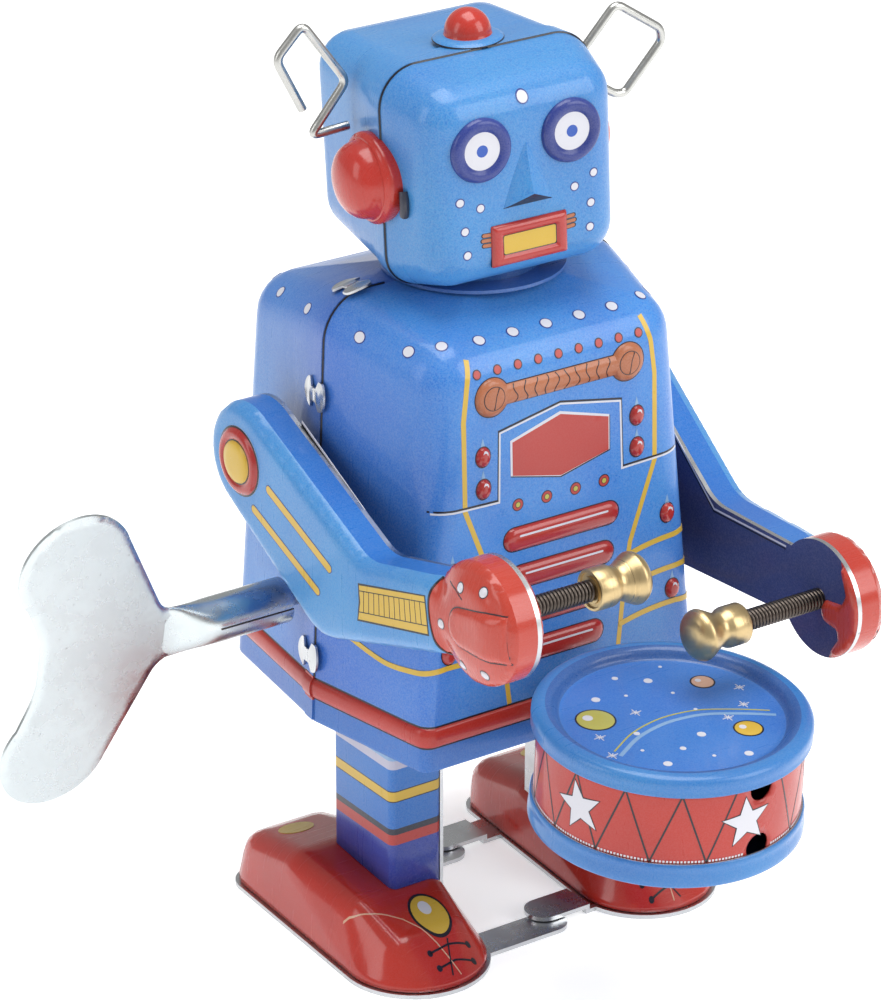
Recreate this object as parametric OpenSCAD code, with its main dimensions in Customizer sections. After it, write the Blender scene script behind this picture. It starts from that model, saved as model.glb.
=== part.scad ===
// Wind-up tin robot drummer: printed tin shells round a two-plate spring motor.
// Millimetres, +Z up. It stands on Z = 0 and faces -Y, so its right side is -X. Every part is drawn
// about the middle plane of the robot and the seam of its torso, and moved at the very end.

/* [Sheet metal] */
// Thickness of the printed tin
tin_t = 0.5; // [0.4:0.05:0.6]
// Thickness of the foot plates and of the drum bracket
steel_t = 0.8; // [0.6:0.05:0.8]

/* [Torso] */
// Height of the skirt's lower edge
skirt_z = 42; // [41:0.5:43]
// Height of the flat top
torso_top = 120.3; // [119.8:0.1:120.5]
// Width across the seam at the skirt
torso_w = 67; // [66:0.5:68]
// Depth from the seam to the front at the skirt
front_d = 27.8; // [27.5:0.1:28.2]
// Depth from the seam to the back at the skirt
back_d = 35; // [34.5:0.1:35.5]

/* [Head] */
// Width across the seam
head_w = 40; // [39:0.5:42]
// Height of the head box
head_h = 38.5; // [38:0.5:40]
// Depth from the seam to the face
face_d = 20; // [19.5:0.5:20.5]
// Depth from the seam to the back of the head
nape_d = 23; // [22:0.5:23.5]
// Turn of the head on its collar, towards the right shoulder
head_yaw = 6; // [0:1:8]
// Tilt of the head box on its neck, left side up
head_roll = 2.5; // [0:0.5:2.5]

/* [Arms] */
// Radius of the shoulder end
shoulder_r = 10.2; // [10:0.1:10.6]
// Width of the arm channel, across the robot
arm_w = 7.6; // [7:0.1:8]
// Angle that each arm stands above or below its middle position
arm_lift = 7; // [0:1:8]
// Outer radius of the stick spring
stick_r = 1.9; // [1.6:0.1:2]
// Length of spring between the hand and the knob
stick_len = 17; // [15:0.5:18]

/* [Legs] */
// Distance of each leg's middle from the middle of the robot
foot_x = 24.5; // [24:0.5:25]
// Width of a foot plate at the toe
foot_w = 27; // [26:0.5:27]
// Length of a foot plate
foot_l = 58; // [57:0.5:58.5]

/* [Drum] */
// Radius of the drum shell
drum_r = 22.6; // [22.3:0.1:22.8]
// Height of the drum over its two rims
drum_h = 21; // [20.5:0.5:21.5]
// Distance of the drum's middle in front of the seam
drum_y = 57.2; // [57:0.2:57.6]
// Forward lean of the drum
drum_tilt = 4; // [3:0.5:5]

/* [Motor] */
// Half the gap between the two motor plates
plate_x = 11.4; // [11.2:0.1:11.6]
// Tooth module of the great wheel
great_m = 0.7; // [0.7:0.01:0.7]
// Tooth module of the other wheels
train_m = 0.5; // [0.5:0.01:0.5]
// Throw of the crank pins
crank_throw = 4.2; // [3.5:0.1:4.2]

/* [Hidden] */
$fn = 48;
round_fn = 28;           // facets of the balls inside a hull
eps = 0.01;              // overlap that joins two solids of one part
gap = 0.3;               // air between parts that move past each other
footprint_mid = [-23.2, -23.8, 0]; // middle of the box round the key, the drum and the arms
run = 0.06;              // radial clearance of a shaft in its hole

blue = "royalblue";
red = "firebrick";
yellow = "goldenrod";
steel = "silver";
brass = "darkgoldenrod";

// Motor: arbor centres as [Y, Z], spaced by the wheels that mesh
plate_t = 0.8;
great_n = 48;
crank_pinion_n = 12;
crank_n = 40;
third_pinion_n = 10;
third_n = 36;
escape_pinion_n = 9;
wind_c = [7.16, 63];
crank_c = [-7, 78.506];
third_c = [3, 86.006];
escape_c = [-5, 93.915];
pallet_c = [-5, 105.5];
arm_c = [9.8, 89.8];     // shoulder shafts
arbor_r = 1;
wind_r = 1.6;
pin_r = 1;
shaft_r = 1.6;           // arm shafts
pillar_c = [[-12.5, 50], [14.5, 108], [-12.5, 108], [-14, 66]];
ratchet_x = -3.2;
great_x = -2;
plate_out = plate_x + plate_t;
disc_x = plate_out + gap;
disc_t = 0.8;
lever_t = 0.7;
pin_out = 0.4;           // how far a crank pin stands out of its disc
lever_x = disc_x + disc_t + pin_out + gap;
upright_x = lever_x + lever_t + gap;
plate_y = [-16, 18];
plate_z = [46, 111];
guide_z = [50, 64];      // heights of the leg guide rivets

front_top = 25.6;        // depth from the seam to the front near the shoulders
back_top = 32.5;         // depth from the seam to the back near the shoulders

// Torso corner balls as [x, y, z, r], for the right-hand side; the left one mirrors them
seam_low = [torso_w / 2 - 1.5, 0, skirt_z, 1.5];
seam_high = [22, 0, torso_top - 8.5, 8.5];
front_balls = [seam_low, seam_high, [27.3, 2 - front_d, skirt_z, 2], [18.5, 8 - front_top, 109, 8],
    [9, -10, torso_top - 5, 5]];
back_balls = [seam_low, seam_high, [23.5, back_d - 6, skirt_z, 6], [19, back_top - 8, 107, 8],
    [10, 8, torso_top - 5, 5]];

// Head, in its own frame: the collar's axis is its Z axis and its seam lies in front of it
head_z = 122.2;
head_hs = head_w / 2;
head_seam_y = -6.8;
seam_balls_h = [[head_hs - 6, head_seam_y, head_z + 6, 6],
    [head_hs - 7, head_seam_y, head_z + head_h - 7, 7]];
face_balls = concat(seam_balls_h,
    [[12, 6.5 - face_d, head_z + 8, 6.5], [12, 6.5 - face_d, head_z + head_h - 8, 6.5]]);
nape_balls = concat(seam_balls_h,
    [[12, nape_d - 6, head_z + 7.6, 6.1], [12, nape_d - 6, head_z + head_h - 7.6, 6.3]]);
eye_x = 8.5;
eye_z = 148.6;
eye_r = 5.6;
ear_right = [-4.2, 141.5]; // [Y, Z]
ear_left = [1.8, 139];    // further back and lower, clear of the aerial
ear_r = 7.9;
ear_h = 7;
wire_y = 4.2;            // plane of the aerials
right_loop = [[-20.5, 148.1], [-27.6, 147.7], [-20.4, 156], [-28, 167.3], [-33.2, 162.2],
    [-28.8, 152.6]];
left_loop = [[20.5, 148.1], [24.5, 147.6], [31, 143], [33, 142.7], [40.6, 150.7],
    [40.4, 153], [31.7, 159.2], [24.2, 151.4]];
wire_r = 0.8;
collar_r = 16;
lamp_r = 4.5;
lamp_y = -1.1;

// Arm outline as [Y, Z] from the shoulder, with the arm in its middle position
upper_a = 33.5;          // fall of the upper arm
elbow_top = [-36.2, -9.8];
elbow_low = [-20.5, -27.2];
wrist_top = [-57.4, -6.8];
wrist_low = [-58.5, -20.6];
fist_c = [-66.5, -13];
fist_r = 10.5;
arm_x = 34;              // inner face of the arm plate
knob_r = 4.5;
knob_len = 10.9;

// Drum
bracket_x = 6;
bracket_z = [44.6, 50.4];
drum_z = 38.4;           // middle of the drum's base
drum_hole_x = 1.6;
drum_hole_r = 2.4;
drum_holes_z = [5.4, 16.6];
lid_lip = 1.1;           // how far the lid's rim stands out from the shell

// Legs
sleeve_y = [-13.5, 5];
sleeve_x = [upright_x + lever_t, 26.4];
toe_y = -18.4;
heel_r = 5.5;
heel_x = 5.6;
heel_y = toe_y - foot_w / 2 + foot_l - heel_r;
tongue_w = 7;
shin_w = 13.8;           // width of the upright inside the torso

// ---------------------------------------------------------------- helpers

// Convex body over balls mirrored in X, each ball smaller by t
module balls_hull(balls, t = 0) {
    hull()
        for (b = balls, sx = [-1, 1])
            translate([sx * b[0], b[1], b[2]])
                sphere(r = b[3] - t, $fn = round_fn);
}

// Rod along X between two X values, at [Y, Z]
module rod_x(x0, x1, c, r) {
    translate([x0, c[0], c[1]])
        rotate([0, 90, 0])
            cylinder(h = x1 - x0, r = r);
}

// Block between two corners
module block(a, b) {
    translate(a)
        cube(b - a);
}

// 2D outline in the YZ plane, extruded from x0 to x1
module slab_x(x0, x1) {
    translate([x0, 0, 0])
        rotate([90, 0, 90])
            linear_extrude(height = x1 - x0)
                children();
}

// Plain strip with round ends between two 2D points
module strip(a, b, w) {
    d = b - a;
    translate(a)
        circle(d = w);
    translate(b)
        circle(d = w);
    translate(a)
        rotate(atan2(d[1], d[0]))
            translate([0, -w / 2])
                square([norm(d), w]);
}

// Outline of a spur wheel with straight-sided teeth, one tooth on the X axis
module gear_2d(n, m) {
    pitch = n * m / 2;
    radii = m * [-1.2, 0, 0.9, 0.9, 0, -1.2];
    sides = m * [-0.9, -0.7, -0.3, 0.3, 0.7, 0.9];
    polygon([for (i = [0:n - 1], k = [0:5])
        let (r = pitch + radii[k], a = i * 360 / n + asin(sides[k] / r))
            r * [cos(a), sin(a)]]);
}

// Wheel on an X arbor at [Y, Z]; turn sets a tooth on the line to its mate
module gear_x(x0, t, c, n, m, turn, bore = 0, windows = 0) {
    translate([0, c[0], c[1]])
        slab_x(x0, x0 + t)
            rotate(turn)
                difference() {
                    gear_2d(n, m);
                    if (bore > 0)
                        circle(r = bore);
                    if (windows > 0)
                        for (i = [0:windows - 1])
                            rotate(i * 360 / windows)
                                translate([n * m * 0.29, 0])
                                    circle(r = n * m * 0.11);
                }
}

// Angle of the line from arbor a to arbor b
function line_a(a, b) = atan2(b[1] - a[1], b[0] - a[0]);

// Turn of a pinion of n teeth so that a gap faces the wheel's tooth
function mesh_turn(a, n) = a + 180 + 180 / n;

// ---------------------------------------------------------------- head

// The head box: turned about the collar's axis and tilted on the neck
module in_head() {
    rotate([0, 0, -head_yaw])
        translate([0, 0, head_z])
            rotate([0, -head_roll, 0])
                translate([0, 0, -head_z])
                    children();
}

module head_shell(balls, side) {
    difference() {
        balls_hull(balls);
        balls_hull(balls, tin_t);
        translate([-50, side > 0 ? head_seam_y - 50 : head_seam_y, head_z - 1])
            cube([100, 50, 50]);
        translate([0, 0, head_z - 1])
            cylinder(h = 5, r = collar_r - 3.6);
    }
}

module head_front_shell() {
    color(blue)
        in_head() {
            head_shell(face_balls, -1);
            for (sx = [-1, 1])
                translate([sx * eye_x, -face_d + 0.2, eye_z])
                    rotate([90, 0, 0])
                        difference() {
                            cylinder(h = 1, r1 = eye_r, r2 = eye_r - 0.6);
                            translate([0, 0, 0.6])
                                cylinder(h = 1, r = eye_r - 1.2);
                        }
            // nose: a wedge that is open below
            hull() {
                block([-0.4, -face_d, 148], [0.4, 0.2 - face_d, 149]);
                block([-4.6, -face_d, 137.4], [4.6, 0.2 - face_d, 138]);
                block([-0.4, -face_d - 3.4, 137.6], [0.4, -face_d - 3, 138]);
            }
            difference() {
                block([-7, -face_d - 1, 127.5], [7, 0.3 - face_d, 134.8]);
                block([-5, -face_d - 1.1, 129.4], [5, -face_d - 0.4, 132.9]);
            }
        }
}

module head_back_shell() {
    color(blue)
        in_head()
            head_shell(nape_balls, 1);
}

module head_lamp() {
    color(red)
        in_head()
            translate([0, lamp_y, head_z + head_h]) {
                cylinder(h = 1.2, r = lamp_r);
                translate([0, 0, 1.2])
                    intersection() {
                        sphere(r = lamp_r);
                        cylinder(h = 6, r = 6);
                    }
            }
}

// Round ear cap with a stepped rim, on the head's +X side
module ear_solid(c) {
    color(red)
        translate([head_hs, c[0], c[1]])
            rotate([0, 90, 0])
                rotate_extrude()
                    polygon([[0, 0], [ear_r, 0], [ear_r, 1.3], [ear_r - 0.5, 1.9], [ear_r - 1, 2.1],
                        [ear_r - 1, 3], [6.5, 4.2], [5.6, 5.4], [4.2, ear_h - 0.7],
                        [2.2, ear_h - 0.15], [0, ear_h]]);
}

module ear_cap_right() {
    in_head()
        mirror([1, 0, 0])
            ear_solid(ear_right);
}

module ear_cap_left() {
    in_head()
        ear_solid(ear_left);
}

// Bent wire in the XZ plane through the given [X, Z] corners
module bent_wire(path) {
    lap = 0.6 * wire_r;
    for (i = [0:len(path) - 2]) {
        d = path[i + 1] - path[i];
        first = i == 0 ? 0 : lap;
        last = i == len(path) - 2 ? 0 : lap;
        translate([path[i][0], 0, path[i][1]])
            rotate([0, 90 - atan2(d[1], d[0]), 0])
                translate([0, 0, -first])
                    cylinder(h = norm(d) + first + last, r = wire_r);
    }
}

module antenna_right() {
    color(steel)
        in_head()
            translate([0, wire_y, 0])
                bent_wire(right_loop);
}

module antenna_left() {
    color(steel)
        in_head()
            translate([0, wire_y, 0])
                bent_wire(left_loop);
}

module neck_collar() {
    color(blue)
        translate([0, 0, torso_top])
            rotate_extrude()
                polygon([[8.1, -2], [9.8, -2], [9.8, -1.3], [8.8, -1.3], [8.8, 0.2],
                    [collar_r, 0.2], [collar_r, 0.8], [11.6, 0.8], [11.6, 4.2], [13.2, 4.2],
                    [13.2, 4.7], [11, 4.7], [11, 0.8], [8.1, 0.8]]);
}

// ---------------------------------------------------------------- torso

module torso_shell(balls, side) {
    difference() {
        union() {
            balls_hull(balls);
            // rolled bead round the skirt
            intersection() {
                balls_hull(balls, -0.7);
                block([-50, -50, 46.5], [50, 50, 50]);
            }
        }
        balls_hull(balls, tin_t);
        block([-50, side > 0 ? -50 : 0, 20], [50, side > 0 ? 0 : 50, 130]);
        block([-50, -50, 20], [50, 50, skirt_z]);
        translate([0, 0, torso_top - 3])
            cylinder(h = 6, r = 9);
        for (sx = [-1, 1])
            rod_x(sx > 0 ? 20 : -40, sx > 0 ? 40 : -20, arm_c, 2.1);
    }
}

module torso_front_shell() {
    color(blue)
        difference() {
            torso_shell(front_balls, -1);
            // slots for the drum bracket
            for (sx = [-1, 1])
                translate([sx * bracket_x, -front_d, (bracket_z[0] + bracket_z[1]) / 2])
                    cube([steel_t + gap, 8, bracket_z[1] - bracket_z[0] + gap], center = true);
        }
}

module torso_back_shell() {
    color(blue)
        difference() {
            torso_shell(back_balls, 1);
            rod_x(-40, -20, wind_c, 2.4);
        }
}

// ---------------------------------------------------------------- motor

// Inside of the back shell and of the front shell at a height
function back_wall(z) =
    back_d - tin_t - (back_d - back_top) * (z - skirt_z) / (107 - skirt_z);
function front_wall(z) =
    tin_t - front_d + (front_d - front_top) * (z - skirt_z) / (109 - skirt_z);

module motor_plate_2d() {
    tab = 7;
    difference() {
        union() {
            translate([plate_y[0], plate_z[0]])
                square([plate_y[1] - plate_y[0], plate_z[1] - plate_z[0]]);
            // tabs that meet the shells
            for (z = [56, 96])
                translate([plate_y[1] - eps, z])
                    square([back_wall(z + tab) - 0.1 - plate_y[1], tab]);
            translate([front_wall(100) + 0.1, 100 - tab])
                square([plate_y[0] - front_wall(100), tab]);
        }
        translate(wind_c)
            circle(r = wind_r + run);
        for (c = [crank_c, third_c, escape_c, pallet_c])
            translate(c)
                circle(r = arbor_r + run);
        translate(arm_c)
            circle(r = shaft_r + run);
    }
}

module motor_plate(sx) {
    x0 = sx > 0 ? plate_x : -plate_out;
    color(steel)
        slab_x(x0, x0 + plate_t)
            motor_plate_2d();
}

module motor_plate_right() {
    motor_plate(-1);
}

module motor_plate_left() {
    motor_plate(1);
}

module plate_pillars() {
    color(steel)
        for (p = pillar_c)
            rod_x(-plate_x, plate_x, p, 1.8);
}

// Coiled ribbon about the winding arbor
module mainspring() {
    turns = 5;
    per_turn = 24;
    step = 2.2 / per_turn;
    last = turns * per_turn;
    color("dimgray")
        translate([0, wind_c[0], wind_c[1]])
            slab_x(-10.2, -4.2)
                polygon(concat([for (i = [0:last]) spiral(i, per_turn, wind_r + gap + i * step)],
                    [for (i = [last:-1:0]) spiral(i, per_turn, wind_r + gap + 0.5 + i * step)]));
}

function spiral(i, n, r) = r * [cos(360 * i / n), sin(360 * i / n)];

module winding_arbor() {
    color(steel) {
        rod_x(-47, plate_out + 1, wind_c, wind_r);
        rod_x(-plate_x + gap, -10.6, wind_c, 2.1);
    }
}

module ratchet_wheel() {
    n = 14;
    color(steel)
        translate([0, wind_c[0], wind_c[1]])
            slab_x(ratchet_x, ratchet_x + 0.8)
                difference() {
                    union() {
                        circle(r = 5);
                        for (i = [0:n - 1])
                            rotate(i * 360 / n)
                                polygon([[4.6, 0], [6.2, 0.2], [4.9, 2.2]]);
                    }
                    circle(r = wind_r);
                }
}

module winding_key() {
    bow_a = 14;          // lean of the bow's plane, top forward
    bow_x = -59;
    lobe = [bow_x - 19.6, 19.6];
    lobe_r = 10.7;
    stem_r = 4.1;
    bow_t = 1.2;
    color(steel)
        translate([0, wind_c[0], wind_c[1]])
            rotate([bow_a, 0, 0]) {
                // rolled socket that grips the arbor
                difference() {
                    rod_x(bow_x + 4, -35.2, [0, 0], stem_r);
                    rod_x(-48, -30, [0, 0], wind_r);
                }
                // flat bow: a waist with two round lobes
                rotate([90, 0, 0])
                    translate([0, 0, -bow_t / 2])
                        linear_extrude(height = bow_t) {
                            for (s = [-1, 1])
                                translate([lobe[0], s * lobe[1]])
                                    circle(r = lobe_r);
                            polygon([[bow_x + 12, stem_r], [bow_x - 1, 5.6],
                                [lobe[0] + lobe_r * cos(20), lobe[1] + lobe_r * sin(20)],
                                [lobe[0] - 6.5, 14], [lobe[0] - 6.5, -14],
                                [lobe[0] + lobe_r * cos(20), -lobe[1] - lobe_r * sin(20)],
                                [bow_x - 1, -5.6], [bow_x + 12, -stem_r]]);
                        }
            }
}

module great_wheel() {
    color(brass)
        gear_x(great_x, 1.2, wind_c, great_n, great_m, line_a(wind_c, crank_c),
            wind_r + run, 5);
}

module ratchet_click() {
    color(steel) {
        rod_x(ratchet_x - 0.2, great_x, [wind_c[0] + 9.6, wind_c[1] + 1.4], 1.1);
        translate([0, wind_c[0], wind_c[1]])
            slab_x(ratchet_x, ratchet_x + 0.8)
                polygon([[9.2, 2.4], [10.6, 1.2], [9.4, -2.6], [6.6, -3.4], [7.4, -1.8]]);
    }
}

module crank_arbor() {
    turn = mesh_turn(line_a(wind_c, crank_c), crank_pinion_n);
    color(steel)
        rod_x(-disc_x - disc_t, disc_x + disc_t, crank_c, arbor_r);
    color(brass)
        gear_x(great_x - 0.6, 2.4, crank_c, crank_pinion_n, great_m, turn);
}

module crank_wheel() {
    color(brass)
        gear_x(1.6, 0.8, crank_c, crank_n, train_m, line_a(crank_c, third_c), arbor_r, 4);
}

// Crank disc; the right pin stands up and the left one down
module crank_disc(sx) {
    color(steel)
        mirror([sx > 0 ? 0 : 1, 0, 0]) {
            difference() {
                rod_x(disc_x, disc_x + disc_t, crank_c, crank_throw + 1.6);
                rod_x(disc_x - 1, disc_x + disc_t + 1, crank_c, arbor_r);
            }
            rod_x(disc_x + disc_t - eps, disc_x + disc_t + pin_out,
                [crank_c[0], crank_c[1] - sx * crank_throw], pin_r);
        }
}

module crank_disc_right() {
    crank_disc(-1);
}

module crank_disc_left() {
    crank_disc(1);
}

module third_arbor() {
    turn = mesh_turn(line_a(crank_c, third_c), third_pinion_n);
    color(steel)
        rod_x(-plate_out - 0.2, plate_out + 0.2, third_c, arbor_r);
    color(brass)
        gear_x(1.2, 1.6, third_c, third_pinion_n, train_m, turn);
}

module third_wheel() {
    color(brass)
        gear_x(4.4, 0.8, third_c, third_n, train_m, line_a(third_c, escape_c), arbor_r, 4);
}

module escape_arbor() {
    turn = mesh_turn(line_a(third_c, escape_c), escape_pinion_n);
    color(steel)
        rod_x(-plate_out - 0.2, plate_out + 0.2, escape_c, arbor_r);
    color(brass)
        gear_x(4, 1.6, escape_c, escape_pinion_n, train_m, turn);
}

module escape_wheel() {
    n = 12;
    color(brass)
        translate([0, escape_c[0], escape_c[1]])
            slab_x(7.4, 8.2)
                difference() {
                    union() {
                        circle(r = 4.6);
                        for (i = [0:n - 1])
                            rotate(i * 360 / n)
                                polygon([[4.2, -0.9], [6.4, 0], [4.2, 0.9]]);
                    }
                    circle(r = arbor_r);
                }
}

module escape_pallet() {
    color(steel) {
        rod_x(-plate_out - 0.2, plate_out + 0.2, pallet_c, arbor_r);
        translate([0, pallet_c[0], pallet_c[1]])
            slab_x(7.4, 8.2) {
                circle(r = 2.2);
                for (s = [-1, 1])
                    scale([s, 1])
                        polygon([[1.4, 1.2], [6.4, -1.6], [6.6, -4.6], [5.8, -4.4],
                            [4.8, -2.4], [0, -1.4]]);
            }
    }
}

// ---------------------------------------------------------------- arms

// Places a child drawn about the shoulder axis with the robot's left side as +X
module in_arm(sx, lift) {
    mirror([sx > 0 ? 0 : 1, 0, 0])
        translate([0, arm_c[0], arm_c[1]])
            rotate([-lift, 0, 0])
                children();
}

// Outline of the whole arm
module arm_outline() {
    n = (shoulder_r - 0.25) * [-sin(upper_a), cos(upper_a)];
    circle(r = shoulder_r);
    polygon([n, elbow_top, wrist_top, wrist_low, elbow_low, -n]);
    translate(fist_c)
        circle(r = fist_r);
}

module arm_shaft(sx, lift) {
    color(steel)
        in_arm(sx, lift) {
            rod_x(plate_x - 0.4, arm_x + 0.9, [0, 0], shaft_r);
            rod_x(arm_x + tin_t, arm_x + 1.3, [0, 0], 2 * shaft_r);
        }
}

module arm_shaft_right() {
    arm_shaft(-1, arm_lift);
}

module arm_shaft_left() {
    arm_shaft(1, -arm_lift);
}

// Slotted lever that the crank pin would move; it runs from the shaft to the crank's middle
module arm_lever(sx) {
    d = crank_c - arm_c;
    color(steel)
        mirror([sx > 0 ? 0 : 1, 0, 0])
            translate([0, arm_c[0], arm_c[1]])
                slab_x(lever_x, lever_x + lever_t)
                    rotate(atan2(d[1] - sx * crank_throw, d[0]))
                        difference() {
                            strip([0, 0], [norm(d) + 1.6, 0], 6);
                            circle(r = shaft_r);
                            strip([norm(d) - 2, 0], [norm(d) + 1.4, 0], 2 * pin_r + 0.2);
                        }
}

module arm_lever_right() {
    arm_lever(-1);
}

module arm_lever_left() {
    arm_lever(1);
}

module arm_shell(sx, lift) {
    x1 = arm_x + arm_w;
    color(blue)
        in_arm(sx, lift)
            difference() {
                union() {
                    slab_x(arm_x + tin_t, x1)
                        arm_outline();
                    // shoulder boss
                    rod_x(x1 - eps, x1 + 0.8, [0, 0], 5.8);
                    rod_x(x1 + 0.8, x1 + 1.3, [0, 0], 4);
                }
                slab_x(arm_x, x1 - tin_t)
                    offset(delta = -tin_t)
                        arm_outline();
            }
}

module arm_shell_right() {
    arm_shell(-1, arm_lift);
}

module arm_shell_left() {
    arm_shell(1, -arm_lift);
}

module arm_plate(sx, lift) {
    color("midnightblue")
        in_arm(sx, lift)
            difference() {
                slab_x(arm_x, arm_x + tin_t)
                    arm_outline();
                rod_x(arm_x - 1, arm_x + 1, [0, 0], shaft_r);
                rod_x(arm_x - 1, arm_x + 1, fist_c, stick_r);
            }
}

module arm_plate_right() {
    arm_plate(-1, arm_lift);
}

module arm_plate_left() {
    arm_plate(1, -arm_lift);
}

module stick_spring(sx, lift) {
    color("dimgray")
        in_arm(sx, lift)
            difference() {
                rod_x(arm_x - stick_len, arm_x + arm_w - tin_t, fist_c, stick_r);
                rod_x(arm_x - stick_len + 4, arm_x + arm_w, fist_c, stick_r - 0.6);
            }
}

module stick_spring_right() {
    stick_spring(-1, arm_lift);
}

module stick_spring_left() {
    stick_spring(1, -arm_lift);
}

// Turned knob: neck, flared rim and low dome
module stick_knob(sx, lift) {
    color(brass)
        in_arm(sx, lift)
            translate([arm_x - stick_len, fist_c[0], fist_c[1]])
                rotate([0, -90, 0])
                    rotate_extrude()
                        polygon([[0, 0], [3.3, 0], [3.6, 0.4], [3.6, 4.6], [3, 5.4], [3, 6],
                            [3.9, 7], [4.4, 7.8], [knob_r, 8.6], [4.3, 9.6], [3.4, 10.4],
                            [1.8, knob_len - 0.1], [0, knob_len]]);
}

module stick_knob_right() {
    stick_knob(-1, arm_lift);
}

module stick_knob_left() {
    stick_knob(1, -arm_lift);
}

// ---------------------------------------------------------------- legs

// Plan of a foot about the leg's middle: round toe, narrower heel
module foot_plan(inset = 0) {
    r = foot_w / 2;
    hull() {
        translate([0.5, toe_y])
            circle(r = r - inset);
        for (sx = [-1, 1])
            translate([sx * heel_x + 1, heel_y])
                circle(r = heel_r - inset);
    }
}

// Steel upright that enters the motor, slotted for its rivets and for the crank
module leg_upright() {
    y = crank_c[0];
    z = crank_c[1];
    difference() {
        union() {
            translate([sleeve_y[0] + 0.6, 0])
                square([sleeve_y[1] - sleeve_y[0] - 1.2, 45]);
            translate([y - shin_w / 2, 44])
                square([shin_w, z + 7.5 - 44]);
        }
        for (h = guide_z)
            strip([y - crank_throw - 0.1, h], [y + crank_throw + 0.1, h], 2 * (pin_r + run));
        strip([y, z - crank_throw], [y, z + crank_throw], 2 * (pin_r + run));
    }
}

// One folded steel part: foot plate, two tongues and the upright
module leg_frame(sx) {
    lift = sx > 0 ? steel_t + 0.2 : 0;      // the left tongues ride over the right ones
    front_y = sx > 0 ? -18.5 : -21.5;
    rear_y = front_y + 32;
    tip = tongue_w / 2 - (sx > 0 ? 0.6 : 5.2);
    root = foot_x - foot_w / 2 + 0.8;
    step_x = 10.6;
    color(steel)
        mirror([sx > 0 ? 0 : 1, 0, 0]) {
            translate([foot_x, 0, 0])
                linear_extrude(height = steel_t)
                    foot_plan();
            for (y = [front_y, rear_y]) {
                translate([0, y, lift])
                    linear_extrude(height = steel_t) {
                        strip([tip, 0], [step_x - tongue_w, 0], tongue_w);
                        translate([step_x - tongue_w, -tongue_w / 2])
                            square([tongue_w, tongue_w]);
                    }
                // step down to the foot plate, and the root inside the plate
                block([step_x - steel_t, y - tongue_w / 2, 0], [step_x, y + tongue_w / 2, lift + eps]);
                block([step_x - eps, y - tongue_w / 2, 0], [root + 3, y + tongue_w / 2, steel_t]);
            }
            slab_x(upright_x, upright_x + lever_t)
                leg_upright();
        }
}

module leg_frame_right() {
    leg_frame(-1);
}

module leg_frame_left() {
    leg_frame(1);
}

module leg_sleeve(sx) {
    color(blue)
        mirror([sx > 0 ? 0 : 1, 0, 0])
            difference() {
                block([sleeve_x[0], sleeve_y[0], 8], [sleeve_x[1], sleeve_y[1], 46]);
                block([sleeve_x[0] + tin_t, sleeve_y[0] + tin_t, 7],
                    [sleeve_x[1] - tin_t, sleeve_y[1] - tin_t, 47]);
            }
}

module leg_sleeve_right() {
    leg_sleeve(-1);
}

module leg_sleeve_left() {
    leg_sleeve(1);
}

// Shoe upper: low heel, high instep and a round toe cap
module shoe_form(t = 0) {
    balls = [[5.5, heel_y - 0.5, 6, 4.6], [6.6, 5, 9.6, 4.4], [6, -12, 7.8, 4.6],
        [4, toe_y - 1, 2.4, 7]];
    hull() {
        for (b = balls, sx = [-1, 1])
            translate([sx * b[0] + 0.6, b[1], b[2]])
                sphere(r = b[3] - t, $fn = round_fn);
        translate([0, 0, steel_t])
            linear_extrude(height = 1)
                foot_plan(0.7 + t);
    }
}

module shoe(sx) {
    color(red)
        mirror([sx > 0 ? 0 : 1, 0, 0])
            translate([foot_x, 0, 0])
                difference() {
                    shoe_form();
                    shoe_form(tin_t);
                    block([-30, -50, -10], [30, 50, steel_t]);
                    block([upright_x - foot_x - 0.1, sleeve_y[0] - 0.1, 2],
                        [sleeve_x[1] - foot_x + 0.1, sleeve_y[1] + 0.1, 20]);
                }
}

module shoe_right() {
    shoe(-1);
}

module shoe_left() {
    shoe(1);
}

// Headed rivets on the motor plates that the leg uprights slide on
module leg_guide_rivets() {
    color(steel)
        for (sx = [-1, 1], z = guide_z)
            mirror([sx > 0 ? 0 : 1, 0, 0]) {
                rod_x(plate_out, upright_x + lever_t + 0.1, [crank_c[0], z], pin_r);
                rod_x(upright_x + lever_t + 0.1, upright_x + lever_t + 0.5, [crank_c[0], z], 2);
            }
}

// ---------------------------------------------------------------- drum

// The drum's frame: its axis leans forward about the middle of its base
module in_drum() {
    translate([0, -drum_y, drum_z])
        rotate([drum_tilt, 0, 0])
            children();
}

module drum_shell() {
    color(red)
        in_drum()
            difference() {
                translate([0, 0, 1])
                    cylinder(h = drum_h - 2, r = drum_r, $fn = 96);
                translate([0, 0, 0.5])
                    cylinder(h = drum_h - 1, r = drum_r - tin_t, $fn = 96);
                for (sx = [-1, 1])
                    block([sx * bracket_x - 0.6, 14, 4.6], [sx * bracket_x + 0.6, 24, 12.3]);
                // two holes that the lid's rim and the base's rim cut across
                for (z = drum_holes_z)
                    translate([drum_hole_x, -drum_r + 3, z])
                        rotate([90, 0, 0])
                            cylinder(h = 6, r = drum_hole_r, $fn = 32);
            }
}

// Lid with a rolled rim and a face that sits just below it
module drum_lid() {
    color(blue)
        in_drum()
            rotate_extrude($fn = 96)
                polygon([[0, drum_h - 1.8], [drum_r - 3.4, drum_h - 1.8], [drum_r - 2.4, drum_h - 0.4],
                    [drum_r - 0.6, drum_h], [drum_r + lid_lip, drum_h - 0.8],
                    [drum_r + lid_lip, drum_h - 3.6],
                    [drum_r + 0.02, drum_h - 3.6], [drum_r + 0.02, drum_h - 0.98],
                    [drum_r - 2.6, drum_h - 0.98], [drum_r - 3.6, drum_h - 2.3], [0, drum_h - 2.3]]);
}

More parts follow.
